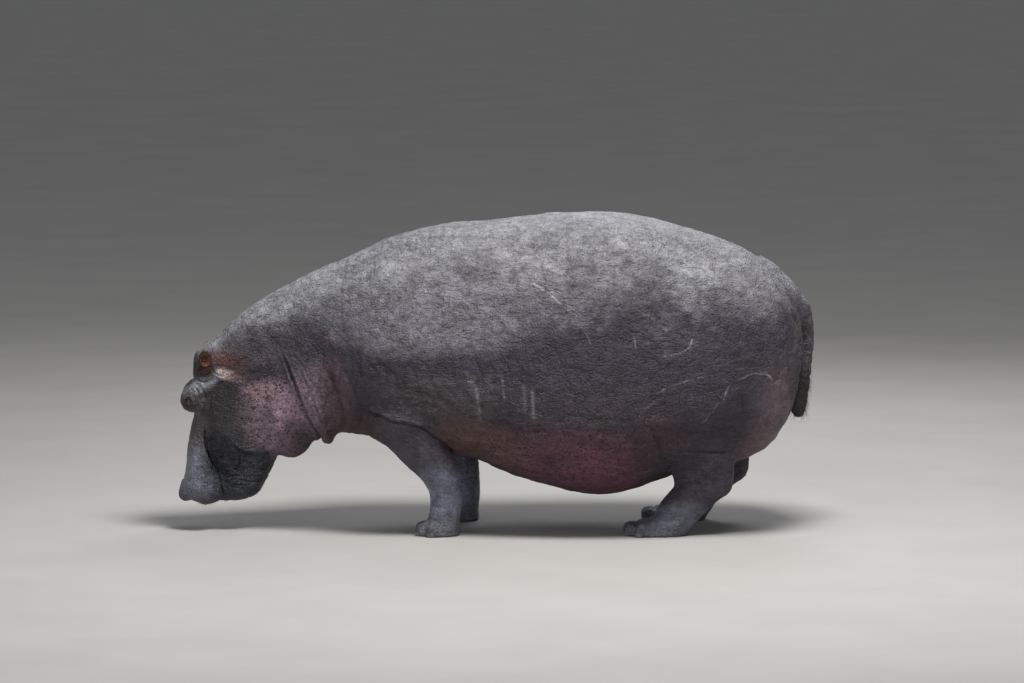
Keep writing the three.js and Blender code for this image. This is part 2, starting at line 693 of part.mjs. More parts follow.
/** Every piece of the animal: name, solid and finish. */
async function bodyPieces() {
  const pieces = [];
  const jawCuts = [headCut(JAW_CUT), headCut(MOUTH_CUT)];
  const jawRegion = (margin) => beyond(jawCuts[0], margin).intersect(beyond(jawCuts[1], margin));
  let head = (await skinMesh(HEAD_BOX, FINE.head)).intersect(beyond(HEAD_CUT, half)).subtract(jawRegion(-half));
  let body = (await skinMesh(TRUNK_BOX, FINE.trunk)).subtract(beyond(NECK_CUT, -half));
  const nape = (await skinMesh(NECK_BOX, FINE.neck)).intersect(beyond(NECK_CUT, half))
    .subtract(beyond(HEAD_CUT, -half));
  const chin = (await skinMesh(JAW_BOX, FINE.jaw)).intersect(jawRegion(half));
  for (const [place, sign] of Object.entries(SIDES)) {
    const earBox = onSide(EAR_BOX, sign, 0);
    const ear = (await skinMesh(earBox, FINE.ear)).intersect(boxSolid(grown(earBox, -half)));
    pieces.push([`ear_${place}`, largest(ear), 'ear'], [`eye_${place}`, eyeball(sign, 0), 'eye']);
    head = head.subtract(boxSolid(grown(earBox, half))).subtract(eyeball(sign, half));
    for (const [name, plan] of Object.entries(LEGS)) {
      pieces.push(...await legPieces(name, plan, place, sign));
      body = body.subtract(legRegion(plan, sign, half));
    }
  }
  const hanging = (await skinMesh(TAIL_BOX, FINE.tail)).intersect(boxSolid(grown(TAIL_BOX, -half)));
  body = body.subtract(boxSolid(grown(TAIL_BOX, half)));
  pieces.push(['trunk', largest(body), 'back'], ['neck', largest(nape), 'neck']);
  pieces.push(['head', largest(head), 'head'], ['lower_jaw', largest(chin), 'jaw']);
  pieces.push(['tail', largest(hanging), 'tail']);
  return pieces;
}

/** A named mesh of a solid. */
function meshOf(name, shape, finish) {
  const { numProp, vertProperties, triVerts } = shape.getMesh();
  const place = new Float32Array(vertProperties.length / numProp * 3);
  for (let i = 0; i < place.length / 3; i++) {
    for (let n = 0; n < 3; n++) place[3 * i + n] = vertProperties[numProp * i + n];
  }
  const geometry = new THREE.BufferGeometry();
  geometry.setAttribute('position', new THREE.BufferAttribute(place, 3));
  geometry.setIndex(new THREE.BufferAttribute(triVerts, 1));
  geometry.computeVertexNormals();
  const mesh = new THREE.Mesh(geometry, new THREE.MeshStandardMaterial({ ...FINISH[finish], metalness: 0 }));
  mesh.name = name;
  return mesh;
}

const hippopotamus = new THREE.Group();
for (const [name, shape, finish] of await bodyPieces()) hippopotamus.add(meshOf(name, shape, finish));

export default hippopotamus;
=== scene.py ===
"""Models the looks of a grown hippopotamus, standing with its head lowered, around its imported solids.

One skin covers the solids of flesh. It is a net laid over a smooth form, then refined and sculpted with
folds, wrinkles, eyelids, nostrils and scars. Eyes, toenails and bristles are pieces of their own.
Metres, +Z up. The head points to -X and the animal's left side to -Y.
"""

import logging
import math
from dataclasses import dataclass
from enum import Enum
from typing import Callable, Iterable, Optional, Sequence

import bpy
import numpy as np
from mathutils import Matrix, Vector


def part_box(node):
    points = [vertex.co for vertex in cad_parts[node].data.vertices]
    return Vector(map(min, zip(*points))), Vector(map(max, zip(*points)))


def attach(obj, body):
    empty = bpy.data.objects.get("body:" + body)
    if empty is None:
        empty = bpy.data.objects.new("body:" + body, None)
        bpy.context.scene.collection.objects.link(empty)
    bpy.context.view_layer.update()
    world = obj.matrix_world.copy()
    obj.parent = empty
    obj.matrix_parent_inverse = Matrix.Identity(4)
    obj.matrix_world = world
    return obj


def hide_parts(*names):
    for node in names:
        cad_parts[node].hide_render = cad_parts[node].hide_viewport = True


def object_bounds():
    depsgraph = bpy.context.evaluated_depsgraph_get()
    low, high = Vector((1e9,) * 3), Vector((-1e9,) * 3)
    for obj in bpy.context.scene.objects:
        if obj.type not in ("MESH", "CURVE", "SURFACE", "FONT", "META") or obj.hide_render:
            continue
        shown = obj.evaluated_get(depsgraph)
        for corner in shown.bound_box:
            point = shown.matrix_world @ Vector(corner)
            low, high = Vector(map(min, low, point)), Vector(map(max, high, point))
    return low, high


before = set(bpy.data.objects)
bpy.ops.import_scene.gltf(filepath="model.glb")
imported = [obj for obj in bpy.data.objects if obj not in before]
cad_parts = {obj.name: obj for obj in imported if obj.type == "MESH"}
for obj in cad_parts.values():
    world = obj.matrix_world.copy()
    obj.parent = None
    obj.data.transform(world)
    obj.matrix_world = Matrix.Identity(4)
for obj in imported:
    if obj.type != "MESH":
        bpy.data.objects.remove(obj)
SOLID_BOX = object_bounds()

log = logging.getLogger("hippopotamus")

Array = np.ndarray
Point = tuple[float, float, float]
Spot = tuple[float, float]
Colour = tuple[float, float, float]
Socket = bpy.types.NodeSocket
Piece = bpy.types.Object
Material = bpy.types.Material

MM = 0.001                 # outline knots are given in millimetres
FAR = 2.0                  # the distance given to forms too far away to matter
SKIN_DEPTH = 0.0015        # how far the skin lies inside the solids
BODY_NAME = "root"         # the one body that every piece rides on
BAKE_MAP = "OFBake"
NAIL_FAN = 0.07            # how far behind the nails the point lies from which they fan out


class Side(Enum):
    """The two sides of the animal, by the sign of their y."""

    LEFT = -1
    RIGHT = 1


# ---- Small measures ----


def smooth(value: Array, low: float, high: float) -> Array:
    """A smooth step.

    Args:
        value: Where to measure.
        low: Where the step starts.
        high: Where the step is complete. It may lie below low.

    Returns:
        0 before low, 1 past high, and a smooth rise between them.
    """
    t = np.clip((value - low) / (high - low), 0.0, 1.0)
    return t * t * (3.0 - 2.0 * t)


def bell(value: Array, width: float) -> Array:
    """A rounded peak of height 1 at zero that falls to a third at one width."""
    return np.exp(-np.square(value / width))


def melt(a: Array, b: Array, band: float) -> Array:
    """Joins two distances into the lesser of them, rounded where they meet.

    Args:
        a: Distance to the first form.
        b: Distance to the second form.
        band: Width of the rounding.

    Returns:
        The joined distance.
    """
    h = np.maximum(band - np.abs(a - b), 0.0) / band
    return np.minimum(a, b) - h * h * band / 4.0


def trim(a: Array, b: Array, band: float) -> Array:
    """The greater of two distances, rounded where they meet."""
    return -melt(-a, -b, band)


def near_only(mask: Array, measure: Callable[[Array], Array]) -> Array:
    """Measures a form only where it can matter.

    Args:
        mask: Which places are near the form.
        measure: Takes the mask and gives distances for the places in it.

    Returns:
        Distances everywhere, FAR outside the mask.
    """
    values = np.full(mask.shape, FAR)
    if mask.any():
        values[mask] = measure(mask)
    return values


def ellipsoid(dx: Array, dy: Array, dz: Array, size: Sequence[float]) -> Array:
    """Distance to an ellipsoid.

    Args:
        dx: Offset from its middle along the first axis.
        dy: Offset along the second axis.
        dz: Offset along the third axis.
        size: Its three half sizes.

    Returns:
        About the distance from its surface, negative inside.
    """
    a, b, c = size
    near = np.sqrt(np.square(dx / a) + np.square(dy / b) + np.square(dz / c))
    steep = np.sqrt(np.square(dx / a**2) + np.square(dy / b**2) + np.square(dz / c**2))
    return near * (near - 1.0) / np.maximum(steep, 1e-9)


class Curve:
    """A smooth value along a length, through a few knots in millimetres, level past its ends."""

    SAMPLES = 900

    def __init__(self, *knots: Spot) -> None:
        """Lays the curve through its knots, given as (place, value)."""
        places, values = np.array(knots, float).T * MM
        last = len(places) - 1
        before = np.maximum(np.arange(last + 1) - 1, 0)
        after = np.minimum(np.arange(last + 1) + 1, last)
        slopes = (values[after] - values[before]) / (places[after] - places[before])
        self.places = np.linspace(places[0], places[-1], self.SAMPLES)
        i = np.clip(np.searchsorted(places, self.places, side="right") - 1, 0, last - 1)
        span = places[i + 1] - places[i]
        t = (self.places - places[i]) / span
        rest = 1.0 - t
        ends = rest * rest * (1.0 + 2.0 * t) * values[i] + t * t * (3.0 - 2.0 * t) * values[i + 1]
        self.values = ends + span * t * rest * (rest * slopes[i] - t * slopes[i + 1])

    def at(self, place: Array) -> Array:
        """The curve's value at each place."""
        return np.interp(place, self.places, self.values)


class Grain:
    """Smooth repeatable noise in space, between -1 and 1."""

    SIDE = 32

    def __init__(self, seed: int) -> None:
        """Fills the lattice of the noise from a seed."""
        self.lattice = np.random.default_rng(seed).uniform(-1.0, 1.0, (self.SIDE,) * 3)

    def at(self, points: Array, wavelength: Sequence[float]) -> Array:
        """The noise at some points.

        Args:
            points: Places, one a row.
            wavelength: Size of its swells along x, y and z.

        Returns:
            One value a point.
        """
        place = points / np.asarray(wavelength, float) + 7.3
        cell = np.floor(place).astype(np.int64)
        t = place - cell
        t = t * t * (3.0 - 2.0 * t)
        low = cell % self.SIDE
        high = (cell + 1) % self.SIDE
        total = np.zeros(len(points))
        for corner in range(8):
            pick = [(corner >> axis) & 1 for axis in range(3)]
            index = tuple(high[:, axis] if pick[axis] else low[:, axis] for axis in range(3))
            weight = np.ones(len(points))
            for axis in range(3):
                weight = weight * (t[:, axis] if pick[axis] else 1.0 - t[:, axis])
            total += weight * self.lattice[index]
        return total

    def rough(self, points: Array, wavelength: Sequence[float], octaves: int = 3) -> Array:
        """Noise with finer noise on it, each octave half the size and strength of the last."""
        size = np.asarray(wavelength, float)
        total = np.zeros(len(points))
        for octave in range(octaves):
            shift = 0.37 * octave
            total += self.at(points + shift, size / 2.0**octave) / 2.0**octave
        return total / (2.0 - 0.5 ** (octaves - 1))


WAVER = Grain(57)


# ---- The form of the flesh ----


@dataclass(frozen=True)
class Sweep:
    """A form swept along a line: upper and lower edge, half width and widest level at each place.

    Crown and keel say how square its section is above and below that level. An end is a place along
    the line where the form is cut off, and the width of the rounding there.
    """

    top: Curve
    bottom: Curve
    width: Curve
    level: Curve
    crown: float
    keel: float
    last: Optional[Spot] = None
    first: Optional[Spot] = None

    def distance(self, along: Array, across: Array, up: Array) -> Array:
        """Distance to the form, measured in its own section.

        Args:
            along: Place along the line.
            across: Offset to the side.
            up: Height in the section.

        Returns:
            About the distance from its surface, negative inside.
        """
        level = self.level.at(along)
        above = up > level
        height = np.where(above, self.top.at(along) - level, level - self.bottom.at(along))
        power = np.where(above, self.crown, self.keel)
        width = self.width.at(along)
        share = (np.abs(across) / width) ** power + (np.abs(up - level) / height) ** power
        share = np.maximum(share, 1e-12) ** (1.0 / power)
        reach = np.hypot(across, up - level) * (1.0 - 1.0 / share)
        d = np.where(share < 1e-4, -np.minimum(width, height), reach)
        if self.last:
            d = trim(d, along - self.last[0], self.last[1])
        if self.first:
            d = trim(d, self.first[0] - along, self.first[1])
        return d


@dataclass(frozen=True)
class Egg:
    """An ellipsoid: middle, half sizes, width of the rounding where it joins, and lean in radians."""

    middle: Point
    size: Point
    join: float
    lean: float = 0.0

    def distance(self, along: Array, side: Array, up: Array) -> Array:
        """Distance from its surface, negative inside."""
        dx, dy, dz = along - self.middle[0], side - self.middle[1], up - self.middle[2]
        c, s = math.cos(self.lean), math.sin(self.lean)
        return ellipsoid(c * dx + s * dz, dy, c * dz - s * dx, self.size)


def swollen(d: Array, eggs: Iterable[Egg], along: Array, side: Array, up: Array) -> Array:
    """A form's distance with ellipsoids joined to it, one by one."""
    for egg in eggs:
        d = melt(d, egg.distance(along, side, up), egg.join)
    return d


@dataclass(frozen=True)
class Trunk:
    """The barrel of the body with its shoulders and haunches."""

    barrel: Sweep = Sweep(
        top=Curve((-790, 1215), (-586, 1376), (-451, 1427), (-218, 1473), (26, 1491), (454, 1523),
            (785, 1482), (1159, 1350), (1366, 1195), (1450, 1080)),
        bottom=Curve((-790, 500), (-564, 452), (-300, 402), (-113, 342), (65, 262), (295, 190),
            (463, 166), (598, 184), (823, 262), (1000, 335), (1200, 450), (1350, 600), (1450, 800)),
        width=Curve((-790, 295), (-600, 392), (-400, 460), (-200, 508), (50, 554), (300, 588), (470, 596),
            (650, 588), (850, 554), (1050, 498), (1250, 400), (1380, 288), (1450, 200)),
        level=Curve((-790, 860), (-400, 800), (0, 700), (400, 640), (800, 680), (1100, 760), (1450, 930)),
        crown=2.15,
        keel=2.3,
        last=(1.43, 0.15),
        first=(-0.79, 0.12),
    )
    shoulder: Egg = Egg((-0.43, 0.268, 0.815), (0.27, 0.195, 0.405), 0.17)
    haunch: Egg = Egg((1.125, 0.205, 0.8), (0.308, 0.272, 0.45), 0.15)

    def distance(self, x: Array, side: Array, z: Array) -> Array:
        """Distance from the trunk, negative inside."""
        return swollen(self.barrel.distance(x, side, z), (self.shoulder, self.haunch), x, side, z)


@dataclass(frozen=True)
class Neck:
    """The neck, with the roll of skin that hangs behind the cheeks."""

    column: Sweep = Sweep(
        top=Curve((-1450, 760), (-1410, 852), (-1367, 910), (-1301, 974), (-1210, 1049), (-1135, 1099),
            (-953, 1200), (-830, 1268), (-689, 1316), (-560, 1330)),
        bottom=Curve((-1450, 680), (-1300, 560), (-1150, 480), (-1000, 440), (-760, 456), (-560, 470)),
        width=Curve((-1450, 80), (-1350, 138), (-1250, 186), (-1100, 236), (-950, 280), (-800, 318),
            (-560, 370)),
        level=Curve((-1450, 720), (-1200, 780), (-950, 780), (-560, 820)),
        crown=2.2,
        keel=2.3,
        last=(-0.52, 0.06),
        first=(-1.44, 0.06),
    )
    roll: Egg = Egg((-0.905, 0.06, 0.68), (0.092, 0.238, 0.29), 0.04, 0.36)

    def distance(self, x: Array, side: Array, z: Array) -> Array:
        """Distance from the neck, negative inside."""
        return swollen(self.column.distance(x, side, z), (self.roll,), x, side, z)


@dataclass(frozen=True)
class Head:
    """The head in its own frame: "down" runs from crown to muzzle, "out" away from the forehead."""

    skull: Sweep = Sweep(
        top=Curve((-50, -10), (0, 85), (55, 138), (133, 139), (200, 124), (300, 114), (400, 118),
            (500, 123), (620, 122), (700, 127), (745, 104), (775, 40)),
        bottom=Curve((-50, -120), (60, -230), (250, -230), (350, -90), (430, 12), (500, 16), (546, 0),
            (590, -38), (630, -62), (680, -78), (715, -80), (750, -60), (775, -20)),
        width=Curve((-50, 60), (0, 115), (60, 146), (150, 163), (250, 156), (340, 130), (420, 114),
            (490, 124), (570, 165), (640, 196), (700, 198), (745, 165), (775, 95)),
        level=Curve((-50, -60), (100, -40), (250, -20), (400, 40), (500, 50), (590, 10), (650, -5),
            (775, 10)),
        crown=2.6,
        keel=2.4,
        last=(0.776, 0.07),
        first=(-0.06, 0.06),
    )
    jaw: Sweep = Sweep(
        top=Curve((360, 20), (500, 34), (546, 16), (600, -30), (668, -58), (735, -76)),
        bottom=Curve((360, -330), (480, -318), (568, -288), (638, -262), (690, -236), (720, -196),
            (738, -150)),
        width=Curve((360, 185), (480, 178), (560, 170), (640, 168), (690, 152), (720, 118), (738, 80)),
        level=Curve((360, -150), (738, -130)),
        crown=2.3,
        keel=2.6,
        last=(0.74, 0.06),
        first=(0.36, 0.08),
    )
    gums: Sweep = Sweep(
        top=Curve((380, 60), (560, 60), (700, 50), (760, 10)),
        bottom=Curve((380, -220), (560, -220), (680, -190), (760, -110)),
        width=Curve((380, 150), (470, 112), (600, 142), (690, 140), (745, 88)),
        level=Curve((380, -70), (760, -60)),
        crown=2.6,
        keel=2.6,
        last=(0.745, 0.05),
        first=(0.38, 0.05),
    )
    cheek: Egg = Egg((0.3, 0.092, -0.15), (0.204, 0.136, 0.19), 0.07)
    orbit: Egg = Egg((0.272, 0.108, 0.105), (0.062, 0.054, 0.074), 0.024)
    brow: Egg = Egg((0.198, 0.118, 0.09), (0.034, 0.036, 0.088), 0.04, -0.57)
    ear_root: Egg = Egg((0.13, 0.12, 0.078), (0.052, 0.034, 0.036), 0.03)
    nostril: Egg = Egg((0.72, 0.078, 0.104), (0.044, 0.042, 0.032), 0.034)
    crown: Spot = (-1.313, 0.881)
    lean: float = 0.1173
    lip_gap: float = 0.014
    gum_gap: float = 0.01

    def frame_of(self, x: Array, z: Array) -> tuple[Array, Array]:
        """Turns places of the body into the head's "down" and "out"."""
        c, s = math.cos(self.lean), math.sin(self.lean)
        dx, dz = x - self.crown[0], z - self.crown[1]
        return -s * dx - c * dz, -c * dx + s * dz

    def face(self, points: Array) -> Array:
        """Places of the body as rows of down, side and out, with both sides as one."""
        down, out = self.frame_of(points[:, 0], points[:, 2])
        return np.stack([down, np.abs(points[:, 1]), out], axis=1)

    def place(self, down: float, side: float, out: float) -> Array:
        """The place in the body of a point given in the head's frame."""
        c, s = math.cos(self.lean), math.sin(self.lean)
        return np.array([self.crown[0] - s * down - c * out, side, self.crown[1] - c * down + s * out])

    def distance(self, down: Array, side: Array, out: Array) -> Array:
        """Distance from the head, negative inside."""
        d = self.skull.distance(down, side, out)
        d = melt(d, self.jaw.distance(down, side, out), self.lip_gap)
        d = melt(d, self.gums.distance(down, side, out), self.gum_gap)
        masses = (self.cheek, self.orbit, self.brow, self.ear_root, self.nostril)
        return swollen(d, masses, down, side, out)


@dataclass(frozen=True)
class Ear:
    """An ear in the head's frame: a small leaf, dished on its outer face and splayed at its tip."""

    middle: Point = (0.07, 0.141, 0.081)
    size: Point = (0.063, 0.027, 0.035)
    dish_shift: Point = (-0.02, 0.028, -0.001)
    dish_size: Point = (0.036, 0.028, 0.024)
    splay: float = 0.45
    rim_round: float = 0.008

    def frame_of(self, down: Array, side: Array, out: Array) -> tuple[Array, Array, Array]:
        """Turns the head's frame into the leaf's own length, thickness and depth."""
        c, s = math.cos(self.splay), math.sin(self.splay)
        along = c * (down - self.middle[0]) - s * (side - self.middle[1])
        through = s * (down - self.middle[0]) + c * (side - self.middle[1])
        return along, through, out - self.middle[2]

    def distance(self, down: Array, side: Array, out: Array) -> Array:
        """Distance from the ear, negative inside."""
        along, through, deep = self.frame_of(down, side, out)
        leaf = ellipsoid(along, through, deep, self.size)
        shift = self.dish_shift
        dish = ellipsoid(along - shift[0], through - shift[1], deep - shift[2], self.dish_size)
        return trim(leaf, -dish, self.rim_round)


@dataclass(frozen=True)
class Leg:
    """One pair of legs with their toes; the right leg stands a step behind the left one."""

    column: Sweep
    lean: Curve
    front: float
    step: float
    spread: float = 0.285
    toes: tuple[tuple[float, float, float], ...] = (
        (0.002, -0.036, 0.037), (0.002, 0.036, 0.037), (-0.044, -0.084, 0.032), (-0.044, 0.084, 0.032))
    toe_height: float = 0.04
    toe_level: float = 0.024
    toe_stretch: float = 1.1
    toe_join: float = 0.03

    def shift(self, y: Array) -> Array:
        """How far each place's side of the body steps back."""
        return np.where(y > 0, self.step, 0.0)

    def distance(self, x: Array, y: Array, z: Array) -> Array:
        """Distance from the legs, negative inside."""
        side = np.abs(y) - self.spread
        along = x - self.shift(y)
        d = self.column.distance(z, side - self.lean.at(z), along)
        toes = np.full(z.shape, FAR)
        for forward, aside, radius in self.toes:
            size = (radius * self.toe_stretch, radius, self.toe_height)
            toe = ellipsoid(along - self.front + forward, side - aside, z - self.toe_level, size)
            toes = np.minimum(toes, toe)
        return melt(d, toes, self.toe_join)


FORE_LEG = Leg(
    column=Sweep(
        top=Curve((0, -182), (52, -182), (110, -174), (190, -172), (289, -180), (342, -194), (395, -214),
            (460, -260), (600, -330)),
        bottom=Curve((0, -386), (30, -378), (60, -345), (134, -327), (192, -331), (231, -348),
            (274, -377), (356, -468), (453, -538), (600, -600)),
        width=Curve((0, 104), (40, 102), (85, 86), (150, 82), (260, 92), (400, 122), (600, 150)),
        level=Curve((0, -275), (134, -248), (289, -290), (600, -450)),
        crown=2.2,
        keel=2.2,
        last=(0.6, 0.06),
    ),
    lean=Curve((0, 0), (250, 6), (600, 40)),
    front=-0.352,
    step=0.088,
)

HIND_LEG = Leg(
    column=Sweep(
        top=Curve((0, 905), (40, 930), (88, 967), (158, 1039), (202, 1099), (245, 1119), (340, 1124),
            (480, 1130)),
        bottom=Curve((0, 612), (30, 625), (62, 680), (90, 738), (120, 751), (178, 790), (236, 833),
            (296, 825), (480, 800)),
        width=Curve((0, 108), (40, 106), (85, 94), (150, 96), (240, 106), (340, 122), (480, 150)),
        level=Curve((0, 755), (79, 830), (158, 910), (245, 975), (480, 975)),
        crown=2.2,
        keel=2.2,
        last=(0.48, 0.06),
    ),
    lean=Curve((0, 0), (250, 2), (480, 20)),
    front=0.64,
    step=0.095,
)


@dataclass(frozen=True)
class Tail:
    """The flat tail that hangs behind the rump."""

    middle: Curve = Curve((525, 1440), (616, 1445), (737, 1463), (857, 1474), (954, 1472), (1060, 1440),
        (1150, 1376), (1240, 1280))
    deep: Curve = Curve((515, 5), (530, 15), (560, 28), (616, 36), (737, 41), (857, 43), (954, 46),
        (1060, 56), (1150, 58), (1240, 40))
    wide: Curve = Curve((525, 9), (560, 17), (737, 33), (857, 43), (954, 55), (1060, 72), (1150, 74),
        (1240, 50))
    bottom: float = 0.522
    bottom_round: float = 0.034
    top: float = 1.24
    top_round: float = 0.06
    melt: float = 0.018
    root_melt: float = 0.12
    root: Spot = (0.93, 1.09)

    def distance(self, x: Array, y: Array, z: Array) -> Array:
        """Distance from the tail, negative inside."""
        deep, wide = self.deep.at(z), self.wide.at(z)
        dx = x - self.middle.at(z)
        near = np.hypot(dx / deep, y / wide)
        steep = np.hypot(dx / deep**2, y / wide**2)
        d = near * (near - 1.0) / np.maximum(steep, 1e-9)
        d = trim(d, self.bottom - z, self.bottom_round)
        return trim(d, z - self.top, self.top_round)

    def blend(self, z: Array) -> Array:
        """How broadly the tail melts into the rump at each height."""
        return self.melt + self.root_melt * smooth(z, *self.root)


@dataclass(frozen=True)
class Flesh:
    """The whole smooth form of the animal, negative inside."""

    trunk: Trunk = Trunk()
    neck: Neck = Neck()
    head: Head = Head()
    jowl: Egg = Egg((-1.035, 0.095, 0.59), (0.15, 0.15, 0.25), 0.04, 0.3)
    ear: Ear = Ear()
    fore: Leg = FORE_LEG
    hind: Leg = HIND_LEG
    tail: Tail = Tail()
    neck_join: float = 0.07
    head_join: float = 0.046
    leg_join: float = 0.034
    ear_join: float = 0.012
    trunk_from: float = -1.05
    neck_to: float = -0.35
    head_to: float = -0.8
    jowl_to: float = -0.6
    legs_below: float = 0.78
    legs_at: Spot = (-0.3, 0.92)
    leg_reach: float = 0.5
    tail_from: float = 1.25
    tail_aside: float = 0.3
    ear_to: float = -1.2
    ear_above: float = 0.68

    def distance(self, points: Array) -> Array:
        """About the distance of each point from the skin, negative inside."""
        x, y, z = points.T
        side = np.abs(y)
        down, out = self.head.frame_of(x, z)
        d = near_only(x > self.trunk_from, lambda m: self.trunk.distance(x[m], side[m], z[m]))
        neck = near_only(x < self.neck_to, lambda m: self.neck.distance(x[m], side[m], z[m]))
        d = melt(d, neck, self.neck_join)
        face = near_only(x < self.head_to, lambda m: self.head.distance(down[m], side[m], out[m]))
        jowl = near_only(x < self.jowl_to, lambda m: self.jowl.distance(x[m], side[m], z[m]))
        d = melt(d, melt(face, jowl, self.jowl.join), self.head_join)
        for leg, middle in zip((self.fore, self.hind), self.legs_at):
            near = (z < self.legs_below) & (np.abs(x - middle) < self.leg_reach)
            pair = near_only(near, lambda m: leg.distance(x[m], y[m], z[m]))
            d = melt(d, pair, self.leg_join)
        near = (x > self.tail_from) & (side < self.tail_aside)
        d = melt(d, near_only(near, lambda m: self.tail.distance(x[m], y[m], z[m])), self.tail.blend(z))
        near = (x < self.ear_to) & (z > self.ear_above)
        ear = near_only(near, lambda m: self.ear.distance(down[m], side[m], out[m]))
        d = melt(d, ear, self.ear_join)
        return np.maximum(d, -z)

    def slope(self, points: Array, step: float = 0.0008) -> Array:
        """The rate at which the distance grows along each axis."""
        here = self.distance(points)
        rates = np.empty_like(points)
        for axis in range(3):
            moved = points.copy()
            moved[:, axis] += step
            rates[:, axis] = (self.distance(moved) - here) / step
        return rates

    def settle(self, points: Array, limit: float, rounds: int = 2) -> tuple[Array, Array]:
        """Moves points onto the skin.

        Args:
            points: The points.
            limit: The farthest that one round moves a point.
            rounds: How many times to step.

        Returns:
            The moved points, and the outward direction at each.
        """
        rates = np.zeros_like(points)
        for _ in range(rounds):
            value = self.distance(points) + SKIN_DEPTH
            rates = self.slope(points)
            steep = np.maximum(np.sum(rates * rates, axis=1), 0.25)
            move = -(value / steep)[:, None] * rates
            length = np.maximum(np.linalg.norm(move, axis=1), 1e-12)
            points = points + move * np.minimum(1.0, limit / length)[:, None]
        size = np.maximum(np.linalg.norm(rates, axis=1), 1e-9)
        return points, rates / size[:, None]


# ---- The net of the skin ----


@dataclass
class Net:
    """A surface: points, faces as rows of point numbers, and the bake map's place of each face corner."""

    points: Array
    faces: Array
    chart: Array

    def triangles(self) -> "Net":
        """The net with each four-sided face parted along its shorter diagonal."""
        p = self.points[self.faces]
        first = np.linalg.norm(p[:, 0] - p[:, 2], axis=1) <= np.linalg.norm(p[:, 1] - p[:, 3], axis=1)
        order = np.where(first[:, None], [[0, 1, 2, 0, 2, 3]], [[1, 2, 3, 1, 3, 0]])
        rows = np.arange(len(self.faces))[:, None]
        faces = self.faces[rows, order].reshape(-1, 3)
        chart = self.chart[rows, order].reshape(-1, 3, 2)
        return Net(self.points, faces, chart)

    def relaxed(self, share: float) -> Array:
        """The points, each moved part of the way to the middle of its neighbours."""
        ends = np.stack([self.faces, np.roll(self.faces, -1, axis=1)], axis=2).reshape(-1, 2)
        count = np.maximum(np.bincount(ends[:, 0], minlength=len(self.points)), 1)
        middle = np.empty_like(self.points)
        for axis in range(3):
            values = self.points[ends[:, 1], axis]
            middle[:, axis] = np.bincount(ends[:, 0], values, minlength=len(self.points)) / count
        return self.points + share * (middle - self.points)

    def split(self, chosen: Array) -> "Net":
        """Parts triangles in four, and their neighbours just enough that no gap opens.

        Args:
            chosen: Which triangles are parted.

        Returns:
            The finer net.
        """
        size = len(self.points)
        ends = np.sort(np.stack([self.faces, np.roll(self.faces, -1, axis=1)], axis=2), axis=2)
        codes, edge = np.unique(ends[..., 0] * size + ends[..., 1], return_inverse=True)
        edge = edge.reshape(-1, 3)
        cut = np.zeros(len(codes), bool)
        cut[edge[chosen].ravel()] = True
        middle = (self.points[codes[cut] // size] + self.points[codes[cut] % size]) / 2.0
        number = np.full(len(codes), -1)
        number[cut] = size + np.arange(int(cut.sum()))
        marks = cut[edge]
        count = marks.sum(axis=1)
        # Each triangle is turned so that its first edge is cut, and its last one isn't unless all are.
        turns = [marks.argmax(axis=1), (marks.argmin(axis=1) + 1) % 3]
        turn = np.select([count == 1, count == 2], turns, 0)
        order = (turn[:, None] + np.arange(3)) % 3
        rows = np.arange(len(self.faces))[:, None]
        corner, between = self.faces[rows, order], number[edge][rows, order]
        chart = self.chart[rows, order]
        spots = np.concatenate([chart, (chart + np.roll(chart, -1, axis=1)) / 2.0], axis=1)
        names = np.concatenate([corner, between], axis=1)
        patterns = {0: ((0, 1, 2),), 1: ((0, 3, 2), (3, 1, 2)), 2: ((0, 3, 4), (3, 1, 4), (0, 4, 2)),
                    3: ((0, 3, 5), (3, 1, 4), (5, 4, 2), (3, 4, 5))}
        faces, charts = [], []
        for cuts, pattern in patterns.items():
            here = count == cuts
            for triple in pattern:
                faces.append(names[here][:, triple])
                charts.append(spots[here][:, triple])
        return Net(np.concatenate([self.points, middle]), np.concatenate(faces), np.concatenate(charts))

    def centres(self) -> Array:
        """The middle of each face."""
        return self.points[self.faces].mean(axis=1)


CORNERS = np.array([[n & 1, (n >> 1) & 1, n >> 2] for n in range(8)])
CELL_EDGES = [(a, a | bit) for bit in (1, 2, 4) for a in range(8) if not a & bit]


def parted_cells() -> Array:
    """Which of the 256 patterns of inner corners fall into more than one lump, inside or outside."""
    table = np.zeros(256, bool)
    for pattern in range(256):
        for inner in (True, False):
            members = [n for n in range(8) if bool(pattern >> n & 1) == inner]
            reached = set(members[:1])
            for _ in members:
                reached |= {b for a, b in CELL_EDGES if a in reached and b in members}
                reached |= {a for a, b in CELL_EDGES if b in reached and a in members}
            table[pattern] |= len(reached) < len(members)
    return table


